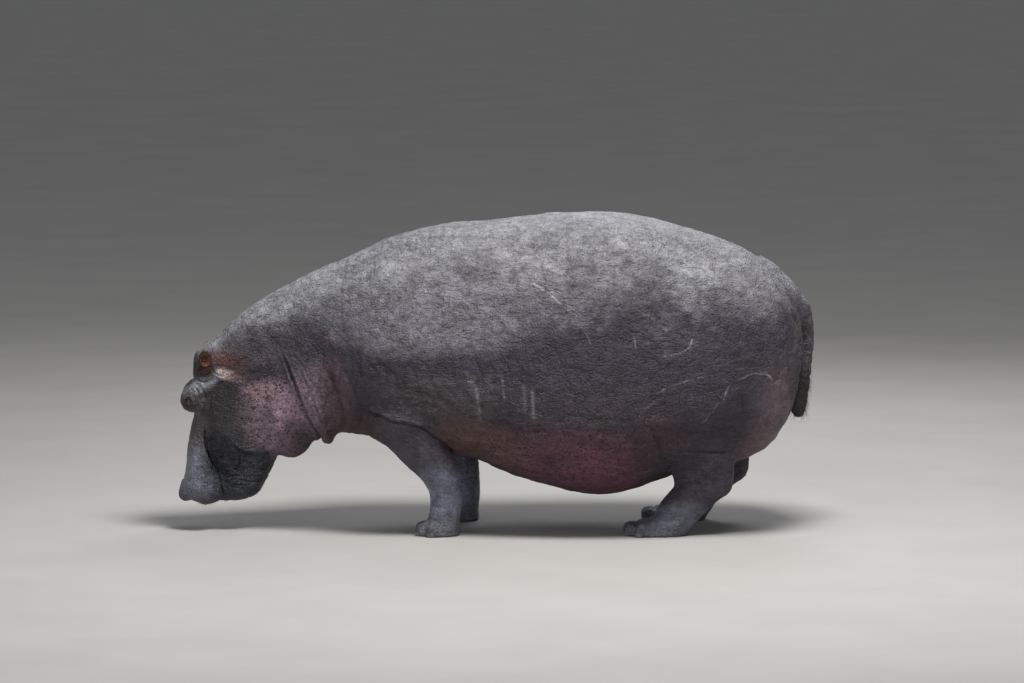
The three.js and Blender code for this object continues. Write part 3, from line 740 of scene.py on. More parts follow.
@dataclass(frozen=True)
class Netting:
    """Lays a net of four-sided faces over the flesh, one point in each grid cell that the skin crosses."""

    flesh: Flesh
    cell: float = 0.0145
    coarse: int = 4
    band: float = 0.17
    relax_rounds: int = 4

    def values(self, low: Array, high: Array) -> tuple[Array, Array]:
        """Distances on a grid, exact near the skin.

        Args:
            low: Lowest corner of the animal's box.
            high: Highest corner.

        Returns:
            The grid's first corner, and the distances.
        """
        start = low - 2.5 * self.cell
        blocks = np.ceil((high - start) / self.cell / self.coarse).astype(int) + 1
        wide = np.stack(np.meshgrid(*[np.arange(n) for n in blocks], indexing="ij"), axis=-1).reshape(-1, 3)
        rough = self.flesh.distance(start + wide * self.cell * self.coarse).reshape(blocks)
        values = rough
        for axis in range(3):
            values = np.repeat(values, self.coarse, axis=axis)
        index = np.nonzero(np.abs(values) < self.band)
        fine = start + np.stack(index, axis=1) * self.cell
        values[index] = self.flesh.distance(fine) + SKIN_DEPTH
        return start, values

    def mended(self, values: Array) -> Array:
        """The distances with cells filled where the skin would touch itself in one cell."""
        table = parted_cells()
        size = np.array(values.shape) - 1
        for _ in range(8):
            pattern = np.zeros(size, np.int64)
            for n, (i, j, k) in enumerate(CORNERS):
                inner = values[i:i + size[0], j:j + size[1], k:k + size[2]] < 0
                pattern |= inner.astype(np.int64) << n
            bad = np.stack(np.nonzero(table[pattern]), axis=1)
            if not len(bad):
                break
            for corner in CORNERS:
                spot = tuple((bad + corner).T)
                values[spot] = np.minimum(values[spot], -0.05 * self.cell)
        return values

    def lay(self) -> Net:
        """Builds the net, evened out and settled on the skin."""
        low, high = (np.array(corner, float) for corner in SOLID_BOX)
        start, values = self.values(low, high)
        values = self.mended(values)
        size = np.array(values.shape) - 1
        inner = values < 0
        total = np.zeros(size, np.int64)
        for i, j, k in CORNERS:
            total += inner[i:i + size[0], j:j + size[1], k:k + size[2]]
        cells = np.stack(np.nonzero((total > 0) & (total < 8)), axis=1)
        corner = np.stack([values[tuple((cells + c).T)] for c in CORNERS], axis=1)
        place, hits = np.zeros((len(cells), 3)), np.zeros(len(cells))
        for a, b in CELL_EDGES:
            crossed = (corner[:, a] < 0) != (corner[:, b] < 0)
            gap = np.where(crossed, corner[:, a] - corner[:, b], 1.0)
            t = np.where(crossed, corner[:, a] / gap, 0.0)[:, None]
            place += crossed[:, None] * (CORNERS[a] + t * (CORNERS[b] - CORNERS[a]))
            hits += crossed
        points = start + self.cell * (cells + place / hits[:, None])
        number = np.full(size, -1)
        number[tuple(cells.T)] = np.arange(len(cells))
        faces = [self.sheets(inner, number, axis) for axis in range(3)]
        net = Net(points, np.concatenate(faces), np.zeros((0, 4, 2)))
        for _ in range(self.relax_rounds):
            net.points, _ = self.flesh.settle(net.relaxed(0.5), 0.3 * self.cell, rounds=1)
        return net

    def sheets(self, inner: Array, number: Array, axis: int) -> Array:
        """Faces that cross the grid's edges along one axis.

        Args:
            inner: Which grid corners lie inside.
            number: The point number of each cell, or -1.
            axis: The axis.

        Returns:
            Rows of four point numbers, facing outward.
        """
        u, v = (axis + 1) % 3, (axis + 2) % 3
        ahead = np.roll(inner, -1, axis=axis)
        crossed = inner != ahead
        edge = [slice(1, -1)] * 3
        edge[axis] = slice(0, -1)
        spots = np.stack(np.nonzero(crossed[tuple(edge)]), axis=1)
        spots[:, [u, v]] += 1
        here = inner[tuple(spots.T)]
        loop = []
        for back_u, back_v in ((1, 1), (0, 1), (0, 0), (1, 0)):
            cell = spots.copy()
            cell[:, u] -= back_u
            cell[:, v] -= back_v
            loop.append(number[tuple(cell.T)])
        faces = np.stack(loop, axis=1)
        return np.where(here[:, None], faces, faces[:, ::-1])


# ---- Sculpting ----


@dataclass(frozen=True)
class Route:
    """A smooth line on the side of the body, seen from that side.

    Its places are x and z in turn, in millimetres.
    """

    places: tuple[int, ...]
    step: float = 0.0
    pieces: int = 6

    def line(self) -> Array:
        """Points along the line, close together."""
        knots = np.array(self.places, float).reshape(-1, 2) / 1000.0
        if len(knots) < 3:
            return knots
        padded = np.concatenate([[2 * knots[0] - knots[1]], knots, [2 * knots[-1] - knots[-2]]])
        t = np.linspace(0.0, 1.0, self.pieces, endpoint=False)[:, None]
        parts = []
        for a, b, c, d in zip(padded, padded[1:], padded[2:], padded[3:]):
            bend = t * t * (2 * a - 5 * b + 4 * c - d) + t**3 * (3 * b - a - 3 * c + d)
            parts.append(b + 0.5 * (t * (c - a) + bend))
        return np.concatenate(parts + [knots[-1:]])

    def measure(self, points: Array, reach: float) -> tuple[Array, Array, Array]:
        """Finds the points near the line.

        Args:
            points: Places on the skin.
            reach: The farthest distance that matters.

        Returns:
            Numbers of the points within reach, their signed distance from the line, and how far each
            lies along it from the nearer end.
        """
        x = points[:, 0] - np.where(points[:, 1] > 0, self.step, 0.0)
        z = points[:, 2]
        line = self.line()
        low, high = line.min(axis=0) - reach, line.max(axis=0) + reach
        near = np.nonzero((x > low[0]) & (x < high[0]) & (z > low[1]) & (z < high[1]))[0]
        best, signed = np.full(len(near), FAR), np.zeros(len(near))
        along, start = np.zeros(len(near)), 0.0
        px, pz = x[near], z[near]
        for a, b in zip(line, line[1:]):
            ab = b - a
            length = float(np.hypot(*ab))
            t = np.clip(((px - a[0]) * ab[0] + (pz - a[1]) * ab[1]) / length**2, 0.0, 1.0)
            dx, dz = px - a[0] - t * ab[0], pz - a[1] - t * ab[1]
            gap = np.hypot(dx, dz)
            closer = gap < best
            best = np.where(closer, gap, best)
            turn = np.sign(ab[0] * dz - ab[1] * dx)
            signed = np.where(closer, gap * turn, signed)
            along = np.where(closer, start + t * length, along)
            start += length
        within = best < reach
        ends = np.minimum(along, start - along)
        return near[within], signed[within], ends[within]


@dataclass
class Relief:
    """Places on the smooth skin, how far each is raised, and its painted shade from lying in a crease, 0 to
    1.
    """

    points: Array
    height: Array
    shade: Array

    def add_crease_shade(self, near: Array, depth: Array) -> None:
        """Notes that some places lie at least so deep in a crease, which the colours show as painted shade.
        """
        self.shade[near] = np.maximum(self.shade[near], depth)


@dataclass(frozen=True)
class Fold:
    """A crease in the skin: half width, depth, the swell of skin beside it, and where it may lie.

    A ledge raises the skin on the left hand of the route, so that it overhangs the crease.
    """

    route: Route
    width: float
    depth: float
    swell: float = 0.3
    taper: float = 0.03
    reach: tuple[float, float] = (0.03, 1.0)
    ledge: float = 0.0
    waver: float = 0.003
    sides: tuple[Side, ...] = (Side.LEFT, Side.RIGHT)
    full_shade_depth: float = 0.006

    def carve(self, relief: Relief) -> None:
        """Lowers the skin along the crease and notes how deep in it each point lies, for the painted shade
        there.
        """
        points, height = relief.points, relief.height
        reach = 4.0 * self.width if self.ledge == 0.0 else 9.0 * self.width
        near, gap, ends = self.route.measure(points, reach + self.waver)
        side = np.abs(points[near, 1])
        noise = WAVER.at(points[near], (0.055, 0.055, 0.055))
        gap = gap + self.waver * noise
        strength = smooth(ends, -0.1 * self.taper, self.taper) * (0.85 + 0.3 * noise)
        strength *= smooth(side, self.reach[0], self.reach[0] + 0.03)
        strength *= 1.0 - smooth(side, self.reach[1], self.reach[1] + 0.02)
        signs = np.sign(points[near, 1])
        strength *= np.isin(signs, [one.value for one in self.sides])
        groove = bell(gap, self.width)
        banks = bell(np.abs(gap) - 2.0 * self.width, self.width)
        height[near] += strength * self.depth * (self.swell * banks - groove)
        hang = smooth(gap, -0.3 * self.width, 0.9 * self.width)
        hang *= 1.0 - smooth(gap, 1.2 * self.width, 8.0 * self.width)
        height[near] += strength * self.ledge * hang
        relief.add_crease_shade(near, strength * groove * min(1.0, self.depth / self.full_shade_depth))


@dataclass(frozen=True)
class Scar:
    """A healed scratch: a thin raised line of paler or darker skin."""

    route: Route
    width: float
    tone: Colour
    strength: float = 0.8
    rise: float = 0.0008
    sides: tuple[Side, ...] = (Side.LEFT,)
    waver: float = 0.003
    ragged: float = 0.3

    def mark(self, relief: Relief, colour: Array) -> None:
        """Raises the skin along the scar, and paints it into the colours."""
        points = relief.points
        near, gap, ends = self.route.measure(points, 3.0 * self.width + self.waver)
        noise = WAVER.rough(points[near], (0.03, 0.03, 0.03))
        gap = gap + self.waver * WAVER.at(points[near], (0.045, 0.045, 0.045))
        amount = bell(gap, self.width) * smooth(ends, -self.width, 3.0 * self.width)
        amount *= smooth(noise, -self.ragged, 0.25 - 0.5 * self.ragged)
        amount *= np.isin(np.sign(points[near, 1]), [one.value for one in self.sides])
        relief.height[near] += self.rise * amount
        mix = (self.strength * amount)[:, None]
        colour[near] += mix * (np.array(self.tone) - colour[near])


@dataclass(frozen=True)
class Zone:
    """A soft-edged patch of the body seen from the side: middle, half sizes and lean."""

    middle: Spot
    size: Spot
    lean: float = 0.0
    edge: float = 0.35
    step: float = 0.0
    ragged: float = 0.25

    def turned(self, points: Array) -> Array:
        """Places measured from the patch's middle, along and across its lean."""
        x = points[:, 0] - np.where(points[:, 1] > 0, self.step, 0.0) - self.middle[0]
        z = points[:, 2] - self.middle[1]
        c, s = math.cos(self.lean), math.sin(self.lean)
        return np.stack([c * x + s * z, points[:, 1], c * z - s * x], axis=1)

    def weight(self, points: Array, noise: Array) -> Array:
        """How much of the patch each place has.

        Args:
            points: Places on the skin.
            noise: Noise of the same places, which makes the edge ragged.

        Returns:
            1 inside, 0 outside, smooth between.
        """
        place = self.turned(points)
        far = np.hypot(place[:, 0] / self.size[0], place[:, 2] / self.size[1]) + self.ragged * noise
        return 1.0 - smooth(far, 1.0 - self.edge, 1.0 + self.edge)


@dataclass(frozen=True)
class Wrinkles:
    """Fine creases in a patch: their length, spacing and depth, and how dark their painted shade is."""

    zone: Zone
    length: float
    spacing: float
    depth: float
    seed: int
    sharp: float = 0.22
    swell: float = 0.35
    dark: float = 0.45
    full_shade_depth: float = 0.002

    def carve(self, relief: Relief) -> None:
        """Lowers the skin along the creases, and notes them for painted shade."""
        points = relief.points
        weight = self.zone.weight(points, np.zeros(len(points)))
        near = np.nonzero(weight > 0.01)[0]
        place = self.zone.turned(points[near])
        size = np.array((self.length, self.length, self.spacing))
        noise = Grain(self.seed).at(place, size)
        noise += 0.4 * Grain(self.seed + 1).at(place, size * (0.4, 0.4, 0.5))
        crease = bell(noise, self.sharp)
        relief.height[near] += self.depth * weight[near] * (self.swell - crease)
        # dark is the strength of the painted shade in the creases
        dark = self.dark * min(1.0, self.depth / self.full_shade_depth)
        relief.add_crease_shade(near, dark * weight[near] * crease)


@dataclass(frozen=True)
class Tint:
    """A patch of colour laid over the skin; some stand for painted light and shade."""

    zone: Zone
    colour: Colour
    strength: float = 1.0


@dataclass(frozen=True)
class Eye:
    """An eye in the head's frame, and the lids that close round it."""

    middle: Point = (0.275, 0.139, 0.13)
    radius: float = 0.025
    gaze: Point = (0.04, 0.9, 0.42)
    opening: Spot = (0.96, 0.74)
    lid: float = 0.0046
    sunk: float = 0.0016
    creases: tuple[Spot, ...] = ((0.034, 0.0026), (0.042, 0.0022), (0.052, 0.0016))
    crease_half: float = 0.0022
    crease_shade: float = 0.85
    waver: float = 0.0016
    lid_reach: float = 4.0
    ring_reach: float = 3.2
    facing: Spot = (0.05, 0.3)
    lid_edge: Spot = (0.93, 1.12)
    lid_weld: float = 0.0045
    behind: float = 9.0
    shaded: Spot = (0.034, 0.058)
    around: int = 64
    rings: int = 48

    def axes(self, head: Head, side: Side) -> tuple[Array, Array, Array, Array]:
        """The eye's middle, the way it looks, the way of its long corner, and the way up, in the body."""
        middle = head.place(self.middle[0], side.value * self.middle[1], self.middle[2])
        origin = head.place(0.0, 0.0, 0.0)
        gaze = head.place(self.gaze[0], side.value * self.gaze[1], self.gaze[2]) - origin
        gaze /= np.linalg.norm(gaze)
        along = head.place(1.0, 0.0, 0.0) - origin
        along -= gaze * (along @ gaze)
        along /= np.linalg.norm(along)
        return middle, gaze, along, np.cross(gaze, along)

    def wrap(self, points: Array, head: Head) -> tuple[Array, Array]:
        """Draws the skin over the eyeballs as lids.

        Args:
            points: Places on the skin.
            head: The head that the eyes are in.

        Returns:
            The moved places, and how much of the lids' rim each has.
        """
        moved, rim = points.copy(), np.zeros(len(points))
        for side in Side:
            middle, gaze, along, up = self.axes(head, side)
            offset = points - middle
            far = np.linalg.norm(offset, axis=1)
            near = np.nonzero(far < self.lid_reach * self.radius)[0]
            way = offset[near] / far[near, None]
            ahead = way @ gaze
            lens = np.square(np.arctan2(way @ along, ahead) / self.opening[0])
            lens += np.abs(np.arctan2(way @ up, ahead)) / self.opening[1]
            lens = np.where(ahead > 0, lens, self.behind)
            ball = self.radius - self.sunk
            cover = smooth(lens, *self.lid_edge)
            roll = 1.0 + 0.4 * bell(lens - 1.28, 0.16) - 0.7 * bell(lens - 1.62, 0.11)
            lid = ball + cover * (self.sunk + self.lid * roll)
            target = -melt(-far[near], -lid, self.lid_weld)
            target = np.where(cover < 0.02, ball, np.where(cover < 0.98, lid, target))
            weight = smooth(ahead, *self.facing)
            moved[near] += (weight * (target - far[near]))[:, None] * way
            rim[near] = np.maximum(rim[near], weight * bell(lens - 1.08, 0.22))
        return moved, rim

    def ring(self, head: Head, relief: Relief) -> Array:
        """Sinks ring-shaped creases into the skin round the lids, with painted shade in them.

        Args:
            head: The head that the eyes are in.
            relief: The skin, changed here.

        Returns:
            How near each place is to an eye, 1 at the lids and 0 past the creases.
        """
        points, height = relief.points, relief.height
        area = np.zeros(len(points))
        for side in Side:
            middle, gaze, along, up = self.axes(head, side)
            offset = points - middle
            near = np.nonzero(np.linalg.norm(offset, axis=1) < self.ring_reach * self.radius)[0]
            offset = offset[near]
            ahead = smooth(offset @ gaze, -0.01, 0.004)
            far = np.hypot(0.9 * (offset @ along), offset @ up)
            far += self.waver * WAVER.at(points[near], (0.02,) * 3)
            for place, depth in self.creases:
                crease = ahead * bell(far - place, self.crease_half)
                height[near] += depth * (0.5 * ahead * bell(far - place - 0.004, 0.0026) - crease)
                relief.add_crease_shade(near, self.crease_shade * crease)
            area[near] = ahead * (1.0 - smooth(far, *self.shaded))
        return area


@dataclass(frozen=True)
class Nostril:
    """A nostril in the head's frame: a curved slit on top of the muzzle, with a raised rim."""

    middle: Spot = (0.708, 0.076)
    half_length: float = 0.027
    turn: float = 0.75
    bend: float = 9.0
    width: float = 0.0058
    depth: float = 0.02
    rim: float = 0.0042
    area: float = 0.08

    def carve(self, head: Head, relief: Relief) -> None:
        """Sinks the slits into the muzzle, paints shade into them and raises their rims."""
        down, side, out = head.face(relief.points).T
        near = np.nonzero((out > self.area) & (np.abs(down - self.middle[0]) < self.area))[0]
        a, b = down[near] - self.middle[0], side[near] - self.middle[1]
        c, s = math.cos(self.turn), math.sin(self.turn)
        along, across = c * a + s * b, c * b - s * a
        across += self.bend * (np.square(along) - self.half_length**2 / 3.0)
        inside = 1.0 - smooth(np.abs(along), 0.72 * self.half_length, 1.15 * self.half_length)
        slit = bell(across, self.width) * inside
        around = 1.0 - smooth(np.abs(along), self.half_length, 1.7 * self.half_length)
        ring = bell(np.abs(across) - 2.3 * self.width, 1.3 * self.width) * around
        relief.height[near] += self.rim * ring - self.depth * slit
        # Painted shade in the slits.
        relief.add_crease_shade(near, slit)


@dataclass(frozen=True)
class Nail:
    """A broad toenail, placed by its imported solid."""

    node: str
    turn: float
    around: int = 40
    rings: int = 26
    ridge: float = 0.00035
    ridges: int = 13
    size: Point = (0.017, 0.02, 0.022)
    cuticle: float = 0.0032
    cuticle_gap: float = 0.0045
    cuticle_half: float = 0.003
    groove: float = 0.0016
    groove_shade: float = 0.7
    stretch: float = 1.22
    cut_at: float = 0.97
    squareness: float = 3.2
    clear: float = 0.001

    def reach(self) -> tuple[Array, Array]:
        """The middle and the half sizes of the nail's solid, along its own three axes."""
        low, high = (np.array(corner, float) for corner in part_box(self.node))
        return (low + high) / 2.0, np.array(self.size) * (high[2] - low[2]) / (2.0 * self.size[2])

    def local(self, points: Array) -> Array:
        """Places measured from the nail's middle along its own axes, in its half sizes."""
        middle, size = self.reach()
        c, s = math.cos(self.turn), math.sin(self.turn)
        offset = points - middle
        x = c * offset[:, 0] + s * offset[:, 1]
        y = c * offset[:, 1] - s * offset[:, 0]
        return np.stack([x, y, offset[:, 2]], axis=1) / size

    def swell(self, relief: Relief) -> None:
        """Raises a cuticle of skin round the nail, and paints shade into the groove at its edge."""
        points = relief.points
        middle, size = self.reach()
        near = np.nonzero(np.linalg.norm(points - middle, axis=1) < 3.0 * size[1])[0]
        place = self.local(points[near])
        gap = (np.linalg.norm(place, axis=1) - 1.0) * size[1]
        above = smooth(place[:, 2], -0.9, -0.2)
        relief.height[near] += above * self.cuticle * bell(gap - self.cuticle_gap, self.cuticle_half)
        relief.add_crease_shade(near, self.groove_shade * bell(gap, self.groove))

    def build(self, finish: "Finish") -> Piece:
        """Builds the nail as a closed ridged plate with a squared free edge."""
        middle, size = self.reach()
        points, faces = ball(self.around, self.rings)
        turn = np.arctan2(points[:, 1], -points[:, 0])
        squared = np.clip(points[:, 2] * self.stretch, -1.0, self.cut_at)
        girth = np.sqrt(np.maximum(1.0 - np.abs(points[:, 2]) ** self.squareness, 0.0))
        flat = np.maximum(np.hypot(points[:, 0], points[:, 1]), 1e-6)
        ridges = 1.0 + self.ridge / size[1] * np.cos(self.ridges * 2.0 * turn)
        shape = np.stack([points[:, 0] / flat * girth * ridges, points[:, 1] / flat * girth * ridges,
                          squared], axis=1)
        flare = 1.0 + 0.05 * smooth(-squared, 0.2, 1.0) - 0.06 * smooth(squared, 0.2, 1.0)
        shape[:, :2] *= flare[:, None]
        shape *= size
        shape[:, 2] = np.maximum(shape[:, 2], self.clear - middle[2])
        c, s = math.cos(self.turn), math.sin(self.turn)
        x = c * shape[:, 0] - s * shape[:, 1]
        y = s * shape[:, 0] + c * shape[:, 1]
        placed = np.stack([x, y, shape[:, 2]], axis=1) + middle
        piece = mesh_piece(f"{self.node}_horn", placed, faces)
        height = (placed[:, 2] - placed[:, 2].min()) / np.ptp(placed[:, 2])
        store_value(piece, "nail_height", height)
        return dressed(piece, finish, "nail", self.node)


# ---- Making pieces ----


def ball(around: int, rings: int) -> tuple[Array, list[tuple[int, ...]]]:
    """A sphere of radius 1.

    Args:
        around: Faces round its waist.
        rings: Faces from pole to pole.

    Returns:
        Its points, and its faces as tuples of point numbers.
    """
    points = [(0.0, 0.0, -1.0)]
    for ring in range(1, rings):
        low = math.pi * ring / rings
        for spoke in range(around):
            turn = 2.0 * math.pi * spoke / around
            out = math.sin(low)
            points.append((out * math.cos(turn), out * math.sin(turn), -math.cos(low)))
    points.append((0.0, 0.0, 1.0))
    top = len(points) - 1
    faces: list[tuple[int, ...]] = []
    for spoke in range(around):
        after = (spoke + 1) % around
        faces.append((0, 1 + after, 1 + spoke))
        last = 1 + (rings - 2) * around
        faces.append((top, last + spoke, last + after))
        for ring in range(rings - 2):
            row = 1 + ring * around
            faces.append((row + spoke, row + after, row + around + after, row + around + spoke))
    return np.array(points), faces


def mesh_piece(name: str, points: Array, faces: Iterable[Sequence[int]]) -> Piece:
    """Makes a smooth-shaded mesh piece.

    Args:
        name: Its name.
        points: Its points, one a row.
        faces: Its faces, as rows of point numbers.

    Returns:
        The new piece, in the scene.
    """
    mesh = bpy.data.meshes.new(name)
    if isinstance(faces, np.ndarray):
        mesh.vertices.add(len(points))
        mesh.vertices.foreach_set("co", np.ascontiguousarray(points, np.float32).ravel())
        mesh.loops.add(faces.size)
        mesh.loops.foreach_set("vertex_index", np.ascontiguousarray(faces, np.int32).ravel())
        mesh.polygons.add(len(faces))
        mesh.polygons.foreach_set("loop_start", np.arange(0, faces.size, faces.shape[1], dtype=np.int32))
        mesh.update(calc_edges=True)
    else:
        mesh.from_pydata(points.tolist(), [], list(faces))
    mesh.shade_smooth()
    piece = bpy.data.objects.new(name, mesh)
    bpy.context.scene.collection.objects.link(piece)
    return piece


def store_value(piece: Piece, name: str, values: Array) -> None:
    """Stores one number a point on a piece, for its finish to read."""
    attribute = piece.data.attributes.new(name, "FLOAT", "POINT")
    attribute.data.foreach_set("value", np.ascontiguousarray(values, np.float32))


def store_colour(piece: Piece, name: str, colours: Array) -> None:
    """Stores one colour a point on a piece, for its finish to read."""
    attribute = piece.data.attributes.new(name, "FLOAT_COLOR", "POINT")
    rows = np.ones((len(colours), 4), np.float32)
    rows[:, :3] = colours
    attribute.data.foreach_set("color", rows.ravel())


def store_chart(piece: Piece, chart: Array) -> None:
    """Stores a bake map, one place for each face corner, in the order of the faces."""
    layer = piece.data.uv_layers.new(name=BAKE_MAP)
    layer.data.foreach_set("uv", np.ascontiguousarray(chart, np.float32).ravel())


def dressed(piece: Piece, finish: "Finish", slot: str, *nodes: str) -> Piece:
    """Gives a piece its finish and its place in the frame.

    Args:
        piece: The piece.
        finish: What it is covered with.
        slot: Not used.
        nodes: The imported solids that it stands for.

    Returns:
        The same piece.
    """
    piece.data.materials.clear()
    piece.data.materials.append(finish.material())
    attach(piece, BODY_NAME)
    if nodes:
        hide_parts(*nodes)
    return piece


# ---- Finishes ----


class Paint:
    """A material under construction: a shader, and short ways to add and join nodes."""

    def __init__(self, name: str) -> None:
        """Starts a material with its main shader."""
        self.material = bpy.data.materials.new(name)
        self.material.use_nodes = True
        self.tree = self.material.node_tree
        self.tree.nodes.clear()
        self.shader = self.add("ShaderNodeBsdfPrincipled")
        output = self.add("ShaderNodeOutputMaterial")
        self.join(self.shader.outputs["BSDF"], output.inputs["Surface"])

    def add(self, kind: str, **settings: object) -> bpy.types.Node:
        """Adds a node and sets its named settings."""
        node = self.tree.nodes.new(kind)
        for name, value in settings.items():
            setattr(node, name, value)
        return node

    def join(self, output: Socket, target: Socket) -> None:
        """Joins two sockets."""
        self.tree.links.new(output, target)

    def place(self, stretch: Point = (1.0, 1.0, 1.0)) -> Socket:
        """The piece's own coordinates, stretched along each axis."""
        coordinates = self.add("ShaderNodeTexCoord").outputs["Object"]
        if stretch == (1.0, 1.0, 1.0):
            return coordinates
        mapping = self.add("ShaderNodeMapping")
        mapping.inputs["Scale"].default_value = stretch
        self.join(coordinates, mapping.inputs["Vector"])
        return mapping.outputs["Vector"]

    def noise(self, scale: float, detail: float = 4.0, rough: float = 0.55,
              stretch: Point = (1.0, 1.0, 1.0)) -> Socket:
        """Noise between 0 and 1.

        Args:
            scale: Swells a metre.
            detail: Octaves of finer noise.
            rough: Strength of the finer noise.
            stretch: Stretch of the coordinates along each axis.

        Returns:
            The noise's value.
        """
        node = self.add("ShaderNodeTexNoise")
        node.inputs["Scale"].default_value = scale
        node.inputs["Detail"].default_value = detail
        node.inputs["Roughness"].default_value = rough
        self.join(self.place(stretch), node.inputs["Vector"])
        return node.outputs["Fac"]

    def cells(self, scale: float, feature: str, stretch: Point = (1.0, 1.0, 1.0)) -> Socket:
        """Distance from the middle or the edge of scattered cells.

        Args:
            scale: Cells a metre.
            feature: "F1" for the middle or "DISTANCE_TO_EDGE".
            stretch: Stretch of the coordinates along each axis.

        Returns:
            The distance.
        """
        node = self.add("ShaderNodeTexVoronoi", feature=feature)
        node.inputs["Scale"].default_value = scale
        self.join(self.place(stretch), node.inputs["Vector"])
        return node.outputs["Distance"]

    def ramp(self, value: Socket, source: Spot, target: Spot) -> Socket:
        """A value carried smoothly from one range to another and held at its ends."""
        node = self.add("ShaderNodeMapRange", interpolation_type="SMOOTHSTEP")
        self.join(value, node.inputs["Value"])
        names = ("From Min", "From Max", "To Min", "To Max")
        for name, limit in zip(names, (*source, *target)):
            node.inputs[name].default_value = limit
        return node.outputs["Result"]

    def feed(self, value: object, target: Socket) -> None:
        """Joins a socket to another, or sets that one to a number or a colour."""
        if isinstance(value, Socket):
            self.join(value, target)
        elif target.type == "RGBA":
            target.default_value = (*value, 1.0)
        else:
            target.default_value = value

    def math(self, kind: str, *values: object) -> Socket:
        """One or two values combined, each a socket or a number."""
        node = self.add("ShaderNodeMath", operation=kind)
        for value, target in zip(values, node.inputs):
            self.feed(value, target)
        return node.outputs[0]

    def blend(self, share: Socket, under: object, over: object) -> Socket:
        """Two colours mixed.

        Args:
            share: How much of the second shows.
            under: The first, a socket or a colour.
            over: The second, a socket or a colour.

        Returns:
            The mixed colour.
        """
        node = self.add("ShaderNodeMix", data_type="RGBA")
        self.feed(share, node.inputs["Factor"])
        self.feed(under, node.inputs[6])
        self.feed(over, node.inputs[7])
        return node.outputs[2]

    def shaded(self, colour: object, share: Socket) -> Socket:
        """A colour made lighter or darker by a value about 1."""
        node = self.add("ShaderNodeVectorMath", operation="SCALE")
        self.feed(colour, node.inputs[0])
        self.feed(share, node.inputs["Scale"])
        return node.outputs[0]

    def stored(self, name: str) -> bpy.types.Node:
        """A colour or value stored on the piece."""
        return self.add("ShaderNodeAttribute", attribute_type="GEOMETRY", attribute_name=name)

    def crease(self, pattern: Socket, width: float) -> Socket:
        """Thin lines where a noise passes its middle value, 1 in the line and 0 past its width."""
        away = self.math("ABSOLUTE", self.math("SUBTRACT", pattern, 0.5))
        return self.ramp(away, (0.0, width), (1.0, 0.0))

    def bump(self, height: Socket, strength: float, distance: float) -> None:
        """Adds relief to the shader from a height."""
        node = self.add("ShaderNodeBump")
        node.inputs["Strength"].default_value = strength
        node.inputs["Distance"].default_value = distance
        self.join(height, node.inputs["Height"])
        self.join(node.outputs["Normal"], self.shader.inputs["Normal"])


class Finish:
    """What a piece is covered with. Each kind makes its material once."""

    made: dict[str, Material] = {}

    def material(self) -> Material:
        """The finish's material, made at the first call."""
        name = type(self).__name__
        if name not in Finish.made:
            Finish.made[name] = self.paint(Paint(name))
        return Finish.made[name]

    def paint(self, paint: Paint) -> Material:
        """Builds the material."""
        raise NotImplementedError


